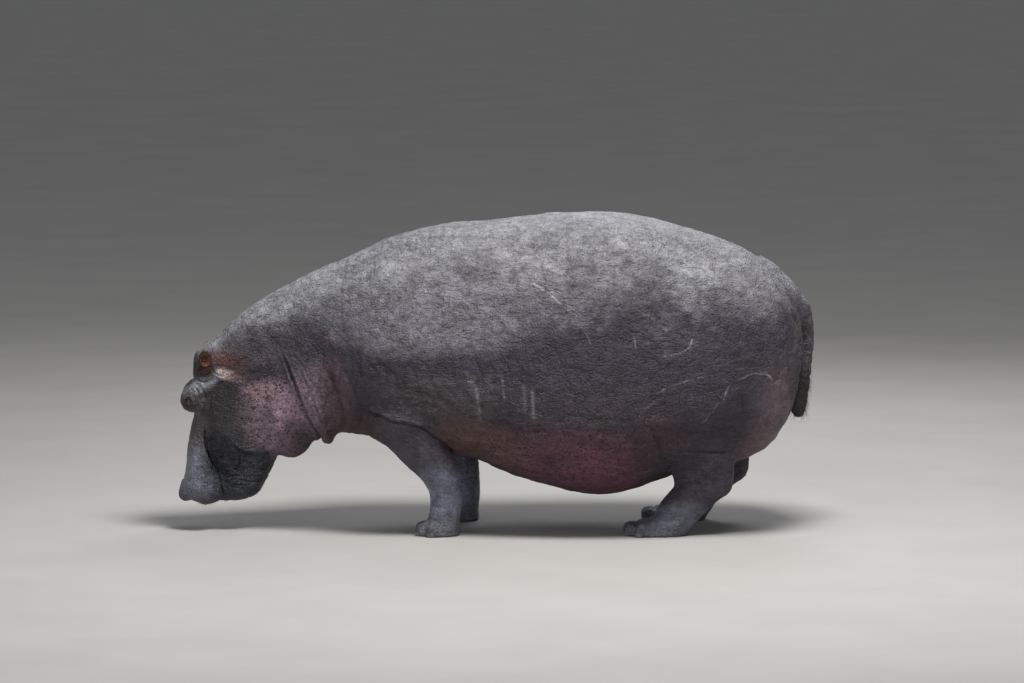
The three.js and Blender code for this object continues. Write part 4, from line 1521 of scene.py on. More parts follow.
@dataclass(frozen=True)
class Hide(Finish):
    """Bare thick skin: stored colours, with mottling, specks, dust flecks and a fine crackle."""

    dry: float = 0.62
    wet: float = 0.34
    speck: Colour = (0.014, 0.007, 0.012)
    fleck: Colour = (0.42, 0.41, 0.43)
    shine: float = 0.45
    bump: float = 0.9
    bump_depth: float = 0.0056

    def paint(self, paint: Paint) -> Material:
        """Builds the material."""
        traits = paint.add("ShaderNodeSeparateColor")
        paint.join(paint.stored("hide_traits").outputs["Color"], traits.inputs["Color"])
        specks, dust_and_top_light, wet = (traits.outputs[n] for n in range(3))
        cloud = paint.noise(7.0, 7.0, 0.62)
        mottle = paint.noise(26.0, 7.0, 0.6)
        grain = paint.noise(150.0, 4.0, 0.6)
        streak = paint.noise(1.0, 5.0, 0.62, (70.0, 70.0, 7.0))
        colour = paint.stored("hide_colour").outputs["Color"]
        shades = ((cloud, 0.9, 1.12), (mottle, 0.84, 1.18), (grain, 0.8, 1.22), (streak, 0.92, 1.09))
        for pattern, least, most in shades:
            colour = paint.shaded(colour, paint.ramp(pattern, (0.36, 0.64), (least, most)))
        # Dark specks on the cheeks and the belly, and pale flecks of dried mud on the back.
        dots = paint.ramp(paint.cells(58.0, "F1"), (0.14, 0.46), (1.0, 0.0))
        sparse = paint.ramp(paint.noise(22.0, 4.0), (0.34, 0.54), (0.0, 0.95))
        spots = paint.ramp(paint.cells(27.0, "F1", (1.0, 1.0, 1.7)), (0.12, 0.36), (0.75, 0.0))
        rare = paint.ramp(paint.noise(9.0, 3.0), (0.44, 0.6), (0.0, 1.0))
        for pattern, places in ((dots, sparse), (spots, rare)):
            amount = paint.math("MULTIPLY", paint.math("MULTIPLY", pattern, places), specks)
            colour = paint.blend(amount, colour, self.speck)
        fleck = paint.ramp(paint.noise(100.0, 4.0, 0.62), (0.48, 0.66), (0.0, 0.4))
        colour = paint.blend(paint.math("MULTIPLY", fleck, dust_and_top_light), colour, self.fleck)
        # Irregular wrinkles, and a net of fine creases between small scales of skin.
        wrinkle = paint.crease(paint.noise(17.0, 2.0, 0.45), 0.034)
        furrow = paint.crease(paint.noise(1.0, 2.0, 0.45, (7.0, 10.0, 24.0)), 0.03)
        scales = paint.cells(90.0, "DISTANCE_TO_EDGE", (1.0, 1.0, 0.7))
        # Painted shade: the colour is darker in the wrinkles, the furrows and the creases between the
        # scales.
        colour = paint.shaded(colour, paint.ramp(wrinkle, (0.0, 1.0), (1.0, 0.86)))
        colour = paint.shaded(colour, paint.ramp(furrow, (0.0, 1.0), (1.0, 0.88)))
        colour = paint.shaded(colour, paint.ramp(scales, (0.0, 0.12), (0.82, 1.0)))
        paint.join(colour, paint.shader.inputs["Base Color"])
        gloss = paint.ramp(wet, (0.0, 1.0), (self.dry, self.wet))
        varied = paint.ramp(mottle, (0.3, 0.7), (-0.12, 0.12))
        paint.join(paint.math("ADD", gloss, varied), paint.shader.inputs["Roughness"])
        paint.shader.inputs["Specular IOR Level"].default_value = self.shine
        warts = paint.math("MULTIPLY", paint.ramp(paint.cells(40.0, "F1"), (0.05, 0.4), (1.0, 0.0)),
                           paint.ramp(paint.noise(14.0, 3.0), (0.52, 0.62), (0.0, 1.5)))
        relief = paint.math("ADD", paint.ramp(mottle, (0.25, 0.75), (0.0, 1.6)), warts)
        for pattern, share in ((wrinkle, -0.6), (furrow, -0.6), (grain, 0.7)):
            relief = paint.math("ADD", relief, paint.math("MULTIPLY", pattern, share))
        relief = paint.math("ADD", relief, paint.ramp(scales, (0.0, 0.2), (0.0, 0.45)))
        paint.bump(relief, self.bump, self.bump_depth)
        return paint.material


@dataclass(frozen=True)
class EyeGloss(Finish):
    """A wet eyeball: stored colours under a clear hard surface."""

    def paint(self, paint: Paint) -> Material:
        """Builds the material."""
        grain = paint.ramp(paint.noise(900.0, 4.0), (0.3, 0.7), (0.75, 1.25))
        colour = paint.shaded(paint.stored("eye_colour").outputs["Color"], grain)
        paint.join(colour, paint.shader.inputs["Base Color"])
        paint.shader.inputs["Roughness"].default_value = 0.06
        paint.shader.inputs["Coat Weight"].default_value = 0.6
        paint.shader.inputs["Coat Roughness"].default_value = 0.03
        return paint.material


@dataclass(frozen=True)
class Horn(Finish):
    """The horn of a toenail: grey, paler and worn towards its free edge, with upright streaks."""

    dark: Colour = (0.06, 0.062, 0.07)
    worn: Colour = (0.2, 0.195, 0.19)

    def paint(self, paint: Paint) -> Material:
        """Builds the material."""
        height = paint.stored("nail_height").outputs["Fac"]
        ragged = paint.math("ADD", height, paint.ramp(paint.noise(140.0), (0.3, 0.7), (-0.22, 0.22)))
        streak = paint.noise(1.0, 5.0, 0.6, (520.0, 520.0, 60.0))
        colour = paint.blend(paint.ramp(ragged, (0.55, 0.05), (0.0, 1.0)), self.dark, self.worn)
        colour = paint.shaded(colour, paint.ramp(streak, (0.3, 0.7), (0.75, 1.3)))
        paint.join(colour, paint.shader.inputs["Base Color"])
        paint.join(paint.ramp(streak, (0.3, 0.7), (0.38, 0.58)), paint.shader.inputs["Roughness"])
        paint.bump(streak, 0.4, 0.0008)
        return paint.material


@dataclass(frozen=True)
class Bristle(Finish):
    """Stiff hair, paler towards the tip."""

    root: Colour = (0.045, 0.03, 0.024)
    tip: Colour = (0.23, 0.16, 0.11)

    def paint(self, paint: Paint) -> Material:
        """Builds the material."""
        reach = paint.stored("hair_reach").outputs["Fac"]
        colour = paint.blend(paint.ramp(reach, (0.1, 1.0), (0.0, 1.0)), self.root, self.tip)
        colour = paint.shaded(colour, paint.ramp(paint.noise(90.0), (0.3, 0.7), (0.7, 1.3)))
        paint.join(colour, paint.shader.inputs["Base Color"])
        paint.shader.inputs["Roughness"].default_value = 0.45
        return paint.material


@dataclass(frozen=True)
class Plaster(Finish):
    """The pale matt floor."""

    tone: Colour = (0.5, 0.49, 0.475)

    def paint(self, paint: Paint) -> Material:
        """Builds the material."""
        colour = paint.shaded(self.tone, paint.ramp(paint.noise(1.5), (0.3, 0.7), (0.97, 1.03)))
        paint.join(colour, paint.shader.inputs["Base Color"])
        paint.shader.inputs["Roughness"].default_value = 0.9
        paint.shader.inputs["Specular IOR Level"].default_value = 0.2
        return paint.material


# ---- The skin ----

BOTH_FACES = (-1.0, 1.0)
ELBOW_STEP = FORE_LEG.step
KNEE_STEP = HIND_LEG.step


@dataclass(frozen=True)
class Creases:
    """The folds and wrinkles of the skin, head to tail."""

    folds: tuple[Fold, ...] = (
        # Behind the cheek, down to the notch before the neck's roll, and behind that roll.
        Fold(Route((-1040, 880, -1022, 842, -996, 786, -953, 680, -905, 545, -866, 468, -850, 400, -845,
            350)), 0.0065, 0.016, 0.3, 0.1, BOTH_FACES),
        Fold(Route((-824, 840, -776, 700, -744, 600, -741, 530, -765, 470, -775, 420)), 0.014, 0.009,
            0.25, 0.1, BOTH_FACES),
        Fold(Route((-700, 760, -672, 660, -665, 570, -680, 480)), 0.008, 0.004, 0.3, 0.08, BOTH_FACES),
        Fold(Route((-950, 800, -905, 700, -862, 590, -832, 500)), 0.006, 0.004),
        Fold(Route((-985, 870, -930, 800, -885, 720)), 0.005, 0.003),
        Fold(Route((-725, 1320, -742, 1220, -748, 1100, -735, 960)), 0.009, 0.0035),
        Fold(Route((-935, 1180, -960, 1060, -965, 940, -940, 850)), 0.008, 0.0025),
        # Under the cheek, where it hangs over the jaw.
        Fold(Route((-1339, 460, -1290, 428, -1246, 402, -1200, 380, -1150, 371, -1108, 376, -1068, 392)),
            0.007, 0.009, 0.3, 0.12, ledge=0.004),
        # The upper lip's hind edge, which overhangs the jaw, and the corner of the mouth.
        Fold(Route((-1318, 165, -1327, 221, -1346, 290, -1375, 335, -1399, 380, -1406, 445, -1412, 500)),
            0.0042, 0.012, 0.1, 0.03, (0.06, 1.0), 0.0065),
        Fold(Route((-1384, 455, -1379, 410, -1372, 355)), 0.0034, 0.006, 0.5, 0.02, (0.06, 1.0)),
        Fold(Route((-1246, 402, -1236, 350, -1248, 312, -1289, 292, -1332, 281)), 0.0042, 0.006, 0.45,
            0.03),
        Fold(Route((-1366, 345, -1325, 315, -1275, 306)), 0.003, 0.0045, 0.5, 0.02),
        Fold(Route((-1352, 368, -1310, 344, -1265, 336)), 0.003, 0.0035, 0.5, 0.02),
        Fold(Route((-1340, 262, -1290, 262, -1240, 275)), 0.0034, 0.0035, 0.5, 0.02),
        # Behind the eye, and from it to the root of the ear.
        Fold(Route((-1455, 700, -1436, 672, -1430, 636, -1436, 596, -1452, 566)), 0.0044, 0.0045, 0.5,
            0.02),
        Fold(Route((-1434, 708, -1410, 676, -1402, 634, -1410, 585, -1432, 545)), 0.0052, 0.0035, 0.4,
            0.03),
        Fold(Route((-1372, 700, -1330, 716, -1282, 748, -1240, 765)), 0.006, 0.004, 0.4, 0.03),
        Fold(Route((-1452, 742, -1425, 722, -1390, 722, -1362, 745)), 0.004, 0.0045, 0.5, 0.02),
        Fold(Route((-1372, 800, -1362, 770, -1340, 752, -1310, 748)), 0.0044, 0.0045, 0.4, 0.02),
        Fold(Route((-1392, 800, -1386, 765, -1392, 735)), 0.003, 0.003, 0.4, 0.02),
        # The shoulder's skin over the fore leg, the elbow, the wrist and the toes.
        Fold(Route((-645, 640, -626, 614, -569, 592, -497, 562, -425, 551, -353, 527, -281, 474, -223,
            416, -180, 380), ELBOW_STEP), 0.0066, 0.009, 0.2, 0.06, ledge=0.006),
        Fold(Route((-480, 520, -400, 500, -330, 455, -280, 405), ELBOW_STEP), 0.006, 0.0025, 0.3, 0.06),
        Fold(Route((-300, 214, -240, 206, -170, 226), ELBOW_STEP), 0.005, 0.0016, 0.4, 0.04),
        Fold(Route((-345, 152, -290, 138, -230, 138), ELBOW_STEP), 0.005, 0.002, 0.4, 0.04),
        Fold(Route((-372, 94, -310, 82, -260, 84), ELBOW_STEP), 0.005, 0.0028, 0.4, 0.04),
        Fold(Route((-130, 520, -90, 450, -55, 385), ELBOW_STEP), 0.009, 0.004),
        # Groin, knee, hock and foot of the hind leg.
        Fold(Route((700, 560, 752, 480, 785, 400, 800, 320), KNEE_STEP), 0.011, 0.008, 0.3, 0.08),
        Fold(Route((800, 432, 870, 424, 960, 420, 1060, 416, 1140, 424), KNEE_STEP), 0.006, 0.006, 0.25,
            0.08, ledge=0.0035),
        Fold(Route((812, 352, 880, 330, 960, 326, 1030, 330), KNEE_STEP), 0.006, 0.0022, 0.35, 0.06),
        Fold(Route((828, 288, 890, 262, 960, 258), KNEE_STEP), 0.006, 0.0026, 0.35, 0.06),
        Fold(Route((990, 284, 1050, 272, 1110, 290), KNEE_STEP), 0.005, 0.0022, 0.35, 0.05),
        Fold(Route((748, 150, 810, 130, 870, 105), KNEE_STEP), 0.005, 0.0022, 0.4, 0.04),
        Fold(Route((705, 98, 770, 88, 830, 66), KNEE_STEP), 0.005, 0.0026, 0.4, 0.03),
        # Beside the root of the tail.
        Fold(Route((1395, 1060, 1425, 1010, 1438, 940, 1440, 860)), 0.009, 0.01, 0.3, 0.04, BOTH_FACES),
        Fold(Route((1375, 1020, 1400, 960, 1405, 890)), 0.007, 0.004, 0.3, 0.03, BOTH_FACES),
        Fold(Route((1330, 600, 1355, 520, 1330, 450, 1270, 405)), 0.01, 0.0045, 0.3, 0.06),
    )
    wrinkles: tuple[Wrinkles, ...] = (
        Wrinkles(Zone((0.28, 0.36), (0.56, 0.24)), 0.22, 0.022, 0.002, seed=11),
        Wrinkles(Zone((0.1, 0.66), (0.62, 0.3)), 0.1, 0.034, 0.0014, seed=13),
        Wrinkles(Zone((-0.12, 0.46), (0.26, 0.15), lean=-0.55), 0.15, 0.017, 0.0034, seed=17),
        Wrinkles(Zone((-0.36, 0.66), (0.26, 0.14), lean=-0.15), 0.14, 0.02, 0.002, seed=18),
        Wrinkles(Zone((-0.66, 0.62), (0.2, 0.32), lean=1.35), 0.2, 0.03, 0.0024, seed=19),
        Wrinkles(Zone((-0.88, 0.66), (0.1, 0.26), lean=1.25), 0.14, 0.02, 0.002, seed=23),
        Wrinkles(Zone((-1.21, 0.27), (0.17, 0.11), lean=-0.15), 0.09, 0.014, 0.0042, seed=29),
        Wrinkles(Zone((-1.3, 0.33), (0.08, 0.07), lean=-0.25), 0.07, 0.012, 0.005, seed=30),
        Wrinkles(Zone((-1.1, 0.6), (0.2, 0.2), lean=0.5), 0.05, 0.022, 0.0011, seed=31),
        Wrinkles(Zone((-1.46, 0.62), (0.09, 0.13), lean=1.3), 0.08, 0.018, 0.0028, seed=37),
        Wrinkles(Zone((-1.36, 0.77), (0.1, 0.07), lean=0.2), 0.06, 0.015, 0.0028, seed=41),
        Wrinkles(Zone((-1.45, 0.4), (0.1, 0.2), lean=1.45), 0.12, 0.022, 0.0022, seed=43),
        Wrinkles(Zone((-0.3, 0.2), (0.16, 0.16), step=ELBOW_STEP), 0.06, 0.016, 0.0012, seed=47),
        Wrinkles(Zone((-0.38, 0.45), (0.18, 0.14), lean=-0.5, step=ELBOW_STEP), 0.14, 0.026, 0.0014,
            seed=53),
        Wrinkles(Zone((0.95, 0.4), (0.24, 0.2), step=KNEE_STEP), 0.14, 0.02, 0.0018, seed=59),
        Wrinkles(Zone((0.86, 0.14), (0.24, 0.12), lean=0.5, step=KNEE_STEP), 0.06, 0.016, 0.0012,
            seed=61),
        Wrinkles(Zone((1.46, 0.72), (0.09, 0.26)), 0.1, 0.016, 0.0036, seed=67),
        Wrinkles(Zone((1.2, 0.72), (0.26, 0.34), lean=1.1), 0.12, 0.05, 0.0011, seed=71),
        Wrinkles(Zone((0.2, 1.25), (1.2, 0.32)), 0.06, 0.034, 0.0026, seed=73),
        Wrinkles(Zone((-0.3, 1.0), (0.6, 0.4), lean=-1.2), 0.1, 0.06, 0.003, seed=83),
        Wrinkles(Zone((-1.05, 0.98), (0.36, 0.2), lean=0.6), 0.08, 0.03, 0.0024, seed=89),
        Wrinkles(Zone((0.72, 0.5), (0.16, 0.22), lean=-1.0), 0.16, 0.022, 0.0022, seed=79),
    )
    swells: tuple[tuple[Point, float], ...] = (
        ((0.34, 0.34, 0.3), 0.007),
        ((0.13, 0.13, 0.13), 0.004),
        ((0.05, 0.05, 0.042), 0.0028),
        ((0.022, 0.022, 0.018), 0.0012),
    )
    hollows: tuple[tuple[Zone, float], ...] = (
        (Zone((-1.33, 0.655), (0.07, 0.09), edge=0.9), 0.01),
        (Zone((-1.17, 0.76), (0.12, 0.045), -0.15, edge=0.9), 0.006),
        (Zone((-1.425, 0.54), (0.045, 0.11), edge=0.9), 0.006),
        (Zone((-0.8, 0.65), (0.045, 0.19), 0.2, edge=0.9), 0.008),
    )

    cleft_width: float = 0.05
    cleft_depth: float = 0.03
    cleft_from: Spot = (1.15, 1.33)
    cleft_height: Spot = (0.64, 0.26)
    cleft_clear: Spot = (0.004, 0.03)
    cleft_shade: float = 0.55

    def part(self, relief: Relief) -> None:
        """Sinks the cleft between the buttocks, under the tail, and paints shade into it."""
        x, y, z = relief.points.T
        reach = smooth(x, *self.cleft_from) * bell(z - self.cleft_height[0], self.cleft_height[1])
        cleft = bell(y, self.cleft_width) * reach * smooth(Tail().distance(x, y, z), *self.cleft_clear)
        relief.height -= self.cleft_depth * cleft
        np.maximum(relief.shade, self.cleft_shade * cleft, out=relief.shade)

    def carve(self, points: Array) -> Relief:
        """Measures all the relief of the skin at some places."""
        relief = Relief(points, np.zeros(len(points)), np.zeros(len(points)))
        calm = 1.0 - 0.75 * smooth(-points[:, 0], 1.0, 1.2)
        calm *= smooth(points[:, 2], 0.0, 0.12)
        for number, (size, rise) in enumerate(self.swells):
            relief.height += rise * calm * Grain(90 + number).at(points, size)
        for zone, depth in self.hollows:
            relief.height -= depth * zone.weight(points, np.zeros(len(points)))
        self.part(relief)
        for crease in (*self.wrinkles, *self.folds):
            crease.carve(relief)
        return relief

    def lines(self) -> list[tuple[Route, float]]:
        """The line and width of every fold."""
        return [(fold.route, fold.width) for fold in self.folds]


PALE: Colour = (0.24, 0.23, 0.24)
WHITE: Colour = (0.55, 0.54, 0.57)
PINK: Colour = (0.34, 0.17, 0.18)
RIGHT_ONLY = (Side.RIGHT,)


@dataclass(frozen=True)
class Markings:
    """The colours of the skin, and its scars, with dust and painted top light on its upper side and painted
    shade in its creases.
    """

    slate: Colour = (0.043, 0.037, 0.054)
    # dusty is the pale colour of dust and painted top light on the upper body
    dusty: Colour = (0.298, 0.295, 0.323)
    # crease is the colour of the painted shade in creases, folds, slits and grooves
    crease: Colour = (0.02, 0.014, 0.016)
    crease_share: float = 0.62
    dust_lift: Spot = (0.2, 0.74)
    dust_height: Spot = (0.66, 0.92)
    dust_cover: float = 0.85
    rump: Spot = (0.8, 1.3)
    rump_dimming: float = 0.32
    cloudy: float = 0.26
    mottled: float = 0.3
    cheek: Zone = Zone((-1.08, 0.58), (0.26, 0.26))
    belly: Zone = Zone((0.36, 0.42), (0.5, 0.24), edge=0.4)
    muzzle: Zone = Zone((-1.36, 0.28), (0.28, 0.2))
    specks: float = 0.12
    muddy: Spot = (0.08, 0.34)
    limits: Spot = (0.004, 0.9)
    tints: tuple[Tint, ...] = (
        # Flank, belly, chest and haunch.
        Tint(Zone((0.24, 0.5), (0.8, 0.24)), (0.057, 0.042, 0.053), 0.8),
        Tint(Zone((0.3, 0.34), (0.6, 0.19)), (0.15, 0.062, 0.086), 0.8),
        Tint(Zone((0.42, 0.3), (0.34, 0.15)), (0.15, 0.053, 0.088), 0.75),
        Tint(Zone((-0.11, 0.46), (0.24, 0.12), -0.55, ragged=0.45), (0.16, 0.084, 0.08), 0.85),
        Tint(Zone((-0.3, 0.66), (0.3, 0.12), ragged=0.5), (0.088, 0.074, 0.082), 0.7),
        # Pale dust and painted top light on the top of the shoulder.
        Tint(Zone((-0.34, 1.06), (0.46, 0.17), ragged=0.4), (0.275, 0.267, 0.302), 0.7),
        Tint(Zone((0.76, 0.4), (0.12, 0.2)), (0.075, 0.036, 0.05), 0.75),
        Tint(Zone((-0.62, 0.5), (0.24, 0.1)), (0.066, 0.031, 0.032), 0.8),
        Tint(Zone((-0.84, 0.6), (0.13, 0.24), -0.25), (0.145, 0.096, 0.112), 0.8),
        Tint(Zone((1.27, 0.42), (0.15, 0.09), 0.6, edge=0.6, ragged=0.4), (0.215, 0.115, 0.135), 0.7),
        # Pink skin with a painted sheen on the buttock's hind edge.
        Tint(Zone((1.35, 0.6), (0.12, 0.22), edge=0.7, ragged=0.4), (0.185, 0.138, 0.158), 0.85),
        Tint(Zone((1.47, 0.92), (0.07, 0.18), edge=0.5), (0.12, 0.105, 0.122), 0.9),
        Tint(Zone((1.45, 0.64), (0.06, 0.15), edge=0.5), (0.042, 0.036, 0.04), 0.8),
        # Legs and feet.
        Tint(Zone((-0.36, 0.31), (0.36, 0.15), -1.07, step=ELBOW_STEP), (0.086, 0.082, 0.102), 0.9),
        Tint(Zone((-0.27, 0.16), (0.16, 0.18), step=ELBOW_STEP), (0.225, 0.235, 0.312), 1.0),
        Tint(Zone((-0.28, 0.03), (0.24, 0.07), step=ELBOW_STEP), (0.13, 0.13, 0.134), 0.7),
        Tint(Zone((0.95, 0.3), (0.26, 0.16), step=KNEE_STEP), (0.07, 0.057, 0.074), 0.9),
        Tint(Zone((0.78, 0.05), (0.3, 0.11), step=KNEE_STEP), (0.165, 0.171, 0.212), 0.9),
        # The head, from the cheek forward.
        Tint(Zone((-1.2, 0.62), (0.32, 0.34)), (0.088, 0.072, 0.082), 0.8),
        Tint(Zone((-1.06, 0.57), (0.19, 0.2), -0.35, edge=0.6, ragged=0.6), (0.38, 0.25, 0.33), 1.0),
        Tint(Zone((-1.14, 0.69), (0.08, 0.06), -0.4, edge=0.7, ragged=0.5), (0.33, 0.205, 0.215), 0.7),
        Tint(Zone((-0.95, 0.44), (0.12, 0.09), edge=0.6), (0.09, 0.055, 0.066), 0.85),
        Tint(Zone((-1.2, 0.52), (0.11, 0.1), edge=0.6, ragged=0.5), (0.138, 0.1, 0.108), 0.75),
        Tint(Zone((-1.13, 0.768), (0.18, 0.04), 0.22, edge=0.6), (0.034, 0.033, 0.041), 0.9),
        # Painted shade in the hollow below the brow, before the ear.
        Tint(Zone((-1.33, 0.66), (0.11, 0.12), edge=0.7, ragged=0.5), (0.026, 0.022, 0.026), 0.95),
        Tint(Zone((-1.33, 0.52), (0.09, 0.12), edge=0.5), (0.045, 0.038, 0.04), 0.8),
        Tint(Zone((-1.3, 0.815), (0.08, 0.055), -0.4, edge=0.7, ragged=0.5), (0.13, 0.05, 0.048), 0.85),
        Tint(Zone((-1.312, 0.76), (0.042, 0.021), -0.1, edge=0.6, ragged=0.55), (0.85, 0.64, 0.6), 1.0),
        Tint(Zone((-1.262, 0.742), (0.045, 0.016), -0.3, edge=0.6, ragged=0.5), (0.26, 0.175, 0.175),
            0.7),
        Tint(Zone((-1.462, 0.83), (0.024, 0.08), edge=0.5), (0.06, 0.058, 0.052), 0.8),
        # Painted highlight: a pale bluish sheen along the brow ridge.
        Tint(Zone((-1.43, 0.7), (0.1, 0.032), 0.62, edge=0.6, ragged=0.4), (0.37, 0.381, 0.422), 0.9),
        Tint(Zone((-1.405, 0.775), (0.046, 0.042), edge=0.5), (0.03, 0.008, 0.009), 1.0),
        Tint(Zone((-1.45, 0.44), (0.06, 0.2), edge=0.5), (0.118, 0.112, 0.114), 0.9),
        # The upper lip's bulge: bluish wet skin with a painted highlight on it.
        Tint(Zone((-1.45, 0.27), (0.11, 0.12), edge=0.5), (0.205, 0.208, 0.268), 0.9),
        Tint(Zone((-1.23, 0.28), (0.2, 0.135), -0.3), (0.042, 0.048, 0.06), 0.95),
        # Painted shade on the jaw under the overhanging cheek.
        Tint(Zone((-1.15, 0.27), (0.12, 0.1), -0.5, edge=0.6), (0.03, 0.032, 0.038), 0.7),
        Tint(Zone((-1.31, 0.4), (0.07, 0.09), edge=0.5), (0.05, 0.05, 0.06), 0.9),
    )
    scars: tuple[Scar, ...] = (
        Scar(Route((160, 1224, 232, 1180, 300, 1122)), 0.0036, WHITE, 0.75),
        Scar(Route((205, 1210, 240, 1180, 262, 1185)), 0.003, WHITE, 0.55),
        Scar(Route((300, 1122, 350, 1080)), 0.0026, PALE, 0.45),
        Scar(Route((-122, 790, -106, 720, -84, 600)), 0.011, PALE, 0.85, ragged=0.5),
        Scar(Route((-142, 790, -126, 730)), 0.012, PALE, 0.72, ragged=0.5),
        Scar(Route((-48, 780, -38, 715)), 0.015, PALE, 0.7, ragged=0.6),
        Scar(Route((20, 782, 28, 670)), 0.006, PALE, 0.75, ragged=0.6),
        Scar(Route((120, 760, 126, 610)), 0.007, PALE, 0.4, ragged=0.6),
        Scar(Route((161, 735, 167, 575)), 0.008, PALE, 0.6, ragged=0.6),
        Scar(Route((780, 886, 828, 892, 870, 900, 905, 930, 922, 968)), 0.0036, WHITE, 0.42),
        Scar(Route((745, 706, 810, 742, 880, 764, 975, 786)), 0.0032, WHITE, 0.34),
        Scar(Route((1068, 668, 1084, 722, 1104, 756, 1160, 776, 1215, 797, 1265, 792)), 0.0034, WHITE,
            0.36),
        Scar(Route((1262, 796, 1282, 780, 1300, 756)), 0.0044, WHITE, 0.5),
        Scar(Route((640, 990, 652, 900)), 0.003, WHITE, 0.35),
        Scar(Route((960, 560, 1010, 610, 1050, 665)), 0.0032, PALE, 0.4),
        Scar(Route((700, 640, 745, 668)), 0.003, PALE, 0.4),
        Scar(Route((380, 1020, 420, 985, 440, 940)), 0.003, WHITE, 0.25),
        Scar(Route((-340, 846, -270, 858, -190, 846)), 0.0034, PALE, 0.3, ragged=0.5),
        Scar(Route((-795, 962, -788, 950)), 0.015, (0.72, 0.46, 0.48), 0.95, 0.003, ragged=0.8),
        Scar(Route((-825, 967, -815, 940)), 0.006, PINK, 0.45, ragged=1.0),
        Scar(Route((-560, 640, -570, 632)), 0.006, PINK, 0.6, 0.002, ragged=1.0),
        Scar(Route((300, 1050, 360, 1010, 450, 990)), 0.0034, WHITE, 0.35, sides=RIGHT_ONLY),
        Scar(Route((850, 820, 930, 780, 990, 700)), 0.0034, WHITE, 0.35, sides=RIGHT_ONLY),
        Scar(Route((-330, 980, -270, 900, -250, 820)), 0.0032, PALE, 0.4, sides=RIGHT_ONLY),
        Scar(Route((-20, 840, 0, 700)), 0.009, PALE, 0.34, ragged=0.7, sides=RIGHT_ONLY),
        Scar(Route((1120, 900, 1180, 930, 1230, 915)), 0.0034, WHITE, 0.35, sides=RIGHT_ONLY),
    )

    def paint(self, relief: Relief, outward: Array) -> tuple[Array, Array]:
        """Colours the skin.

        Args:
            relief: The skin, raised here where scars lie.
            outward: The outward direction at each of its places.

        Returns:
            The colour of each place, and its specks, its dust with painted top light, and its wetness.
        """
        points = relief.points
        broad = Grain(5).rough(points, (0.16, 0.16, 0.12))
        fine = Grain(6).rough(points, (0.045, 0.045, 0.035))
        noise = 0.7 * broad + 0.5 * fine
        # Dust and painted top light: paler where the skin faces up, high on the body, and less of both on
        # the rump.
        lift = outward[:, 2] + 0.2 * noise
        dust_and_top_light = smooth(lift, *self.dust_lift) * smooth(points[:, 2], *self.dust_height)
        dust_and_top_light *= 1.0 - self.rump_dimming * smooth(points[:, 0], *self.rump)
        colour = np.array(self.slate) + dust_and_top_light[:, None] * (np.array(self.dusty) - np.array(self.slate))
        for tint in self.tints:
            share = tint.strength * tint.zone.weight(points, noise)
            share *= 1.0 - self.dust_cover * dust_and_top_light
            colour += share[:, None] * (np.array(tint.colour) - colour)
        colour *= (1.0 + self.cloudy * broad + self.mottled * fine)[:, None]
        for scar in self.scars:
            scar.mark(relief, colour)
        # Painted shade: darker where the skin lies in a crease, fold, slit or groove.
        colour += (self.crease_share * relief.shade)[:, None] * (np.array(self.crease) - colour)
        cheek, belly, muzzle = (
            zone.weight(points, noise) for zone in (self.cheek, self.belly, self.muzzle)
        )
        specks = np.clip(self.specks + 0.85 * cheek + 0.9 * belly, 0.0, 1.0)
        feet = 1.0 - smooth(points[:, 2] + 0.04 * noise, *self.muddy)
        wet = np.clip(0.85 * muzzle + 0.6 * feet + 0.25 * belly, 0.0, 1.0) * (1.0 - dust_and_top_light)
        return np.clip(colour, *self.limits), np.stack([specks, dust_and_top_light, wet], axis=1)


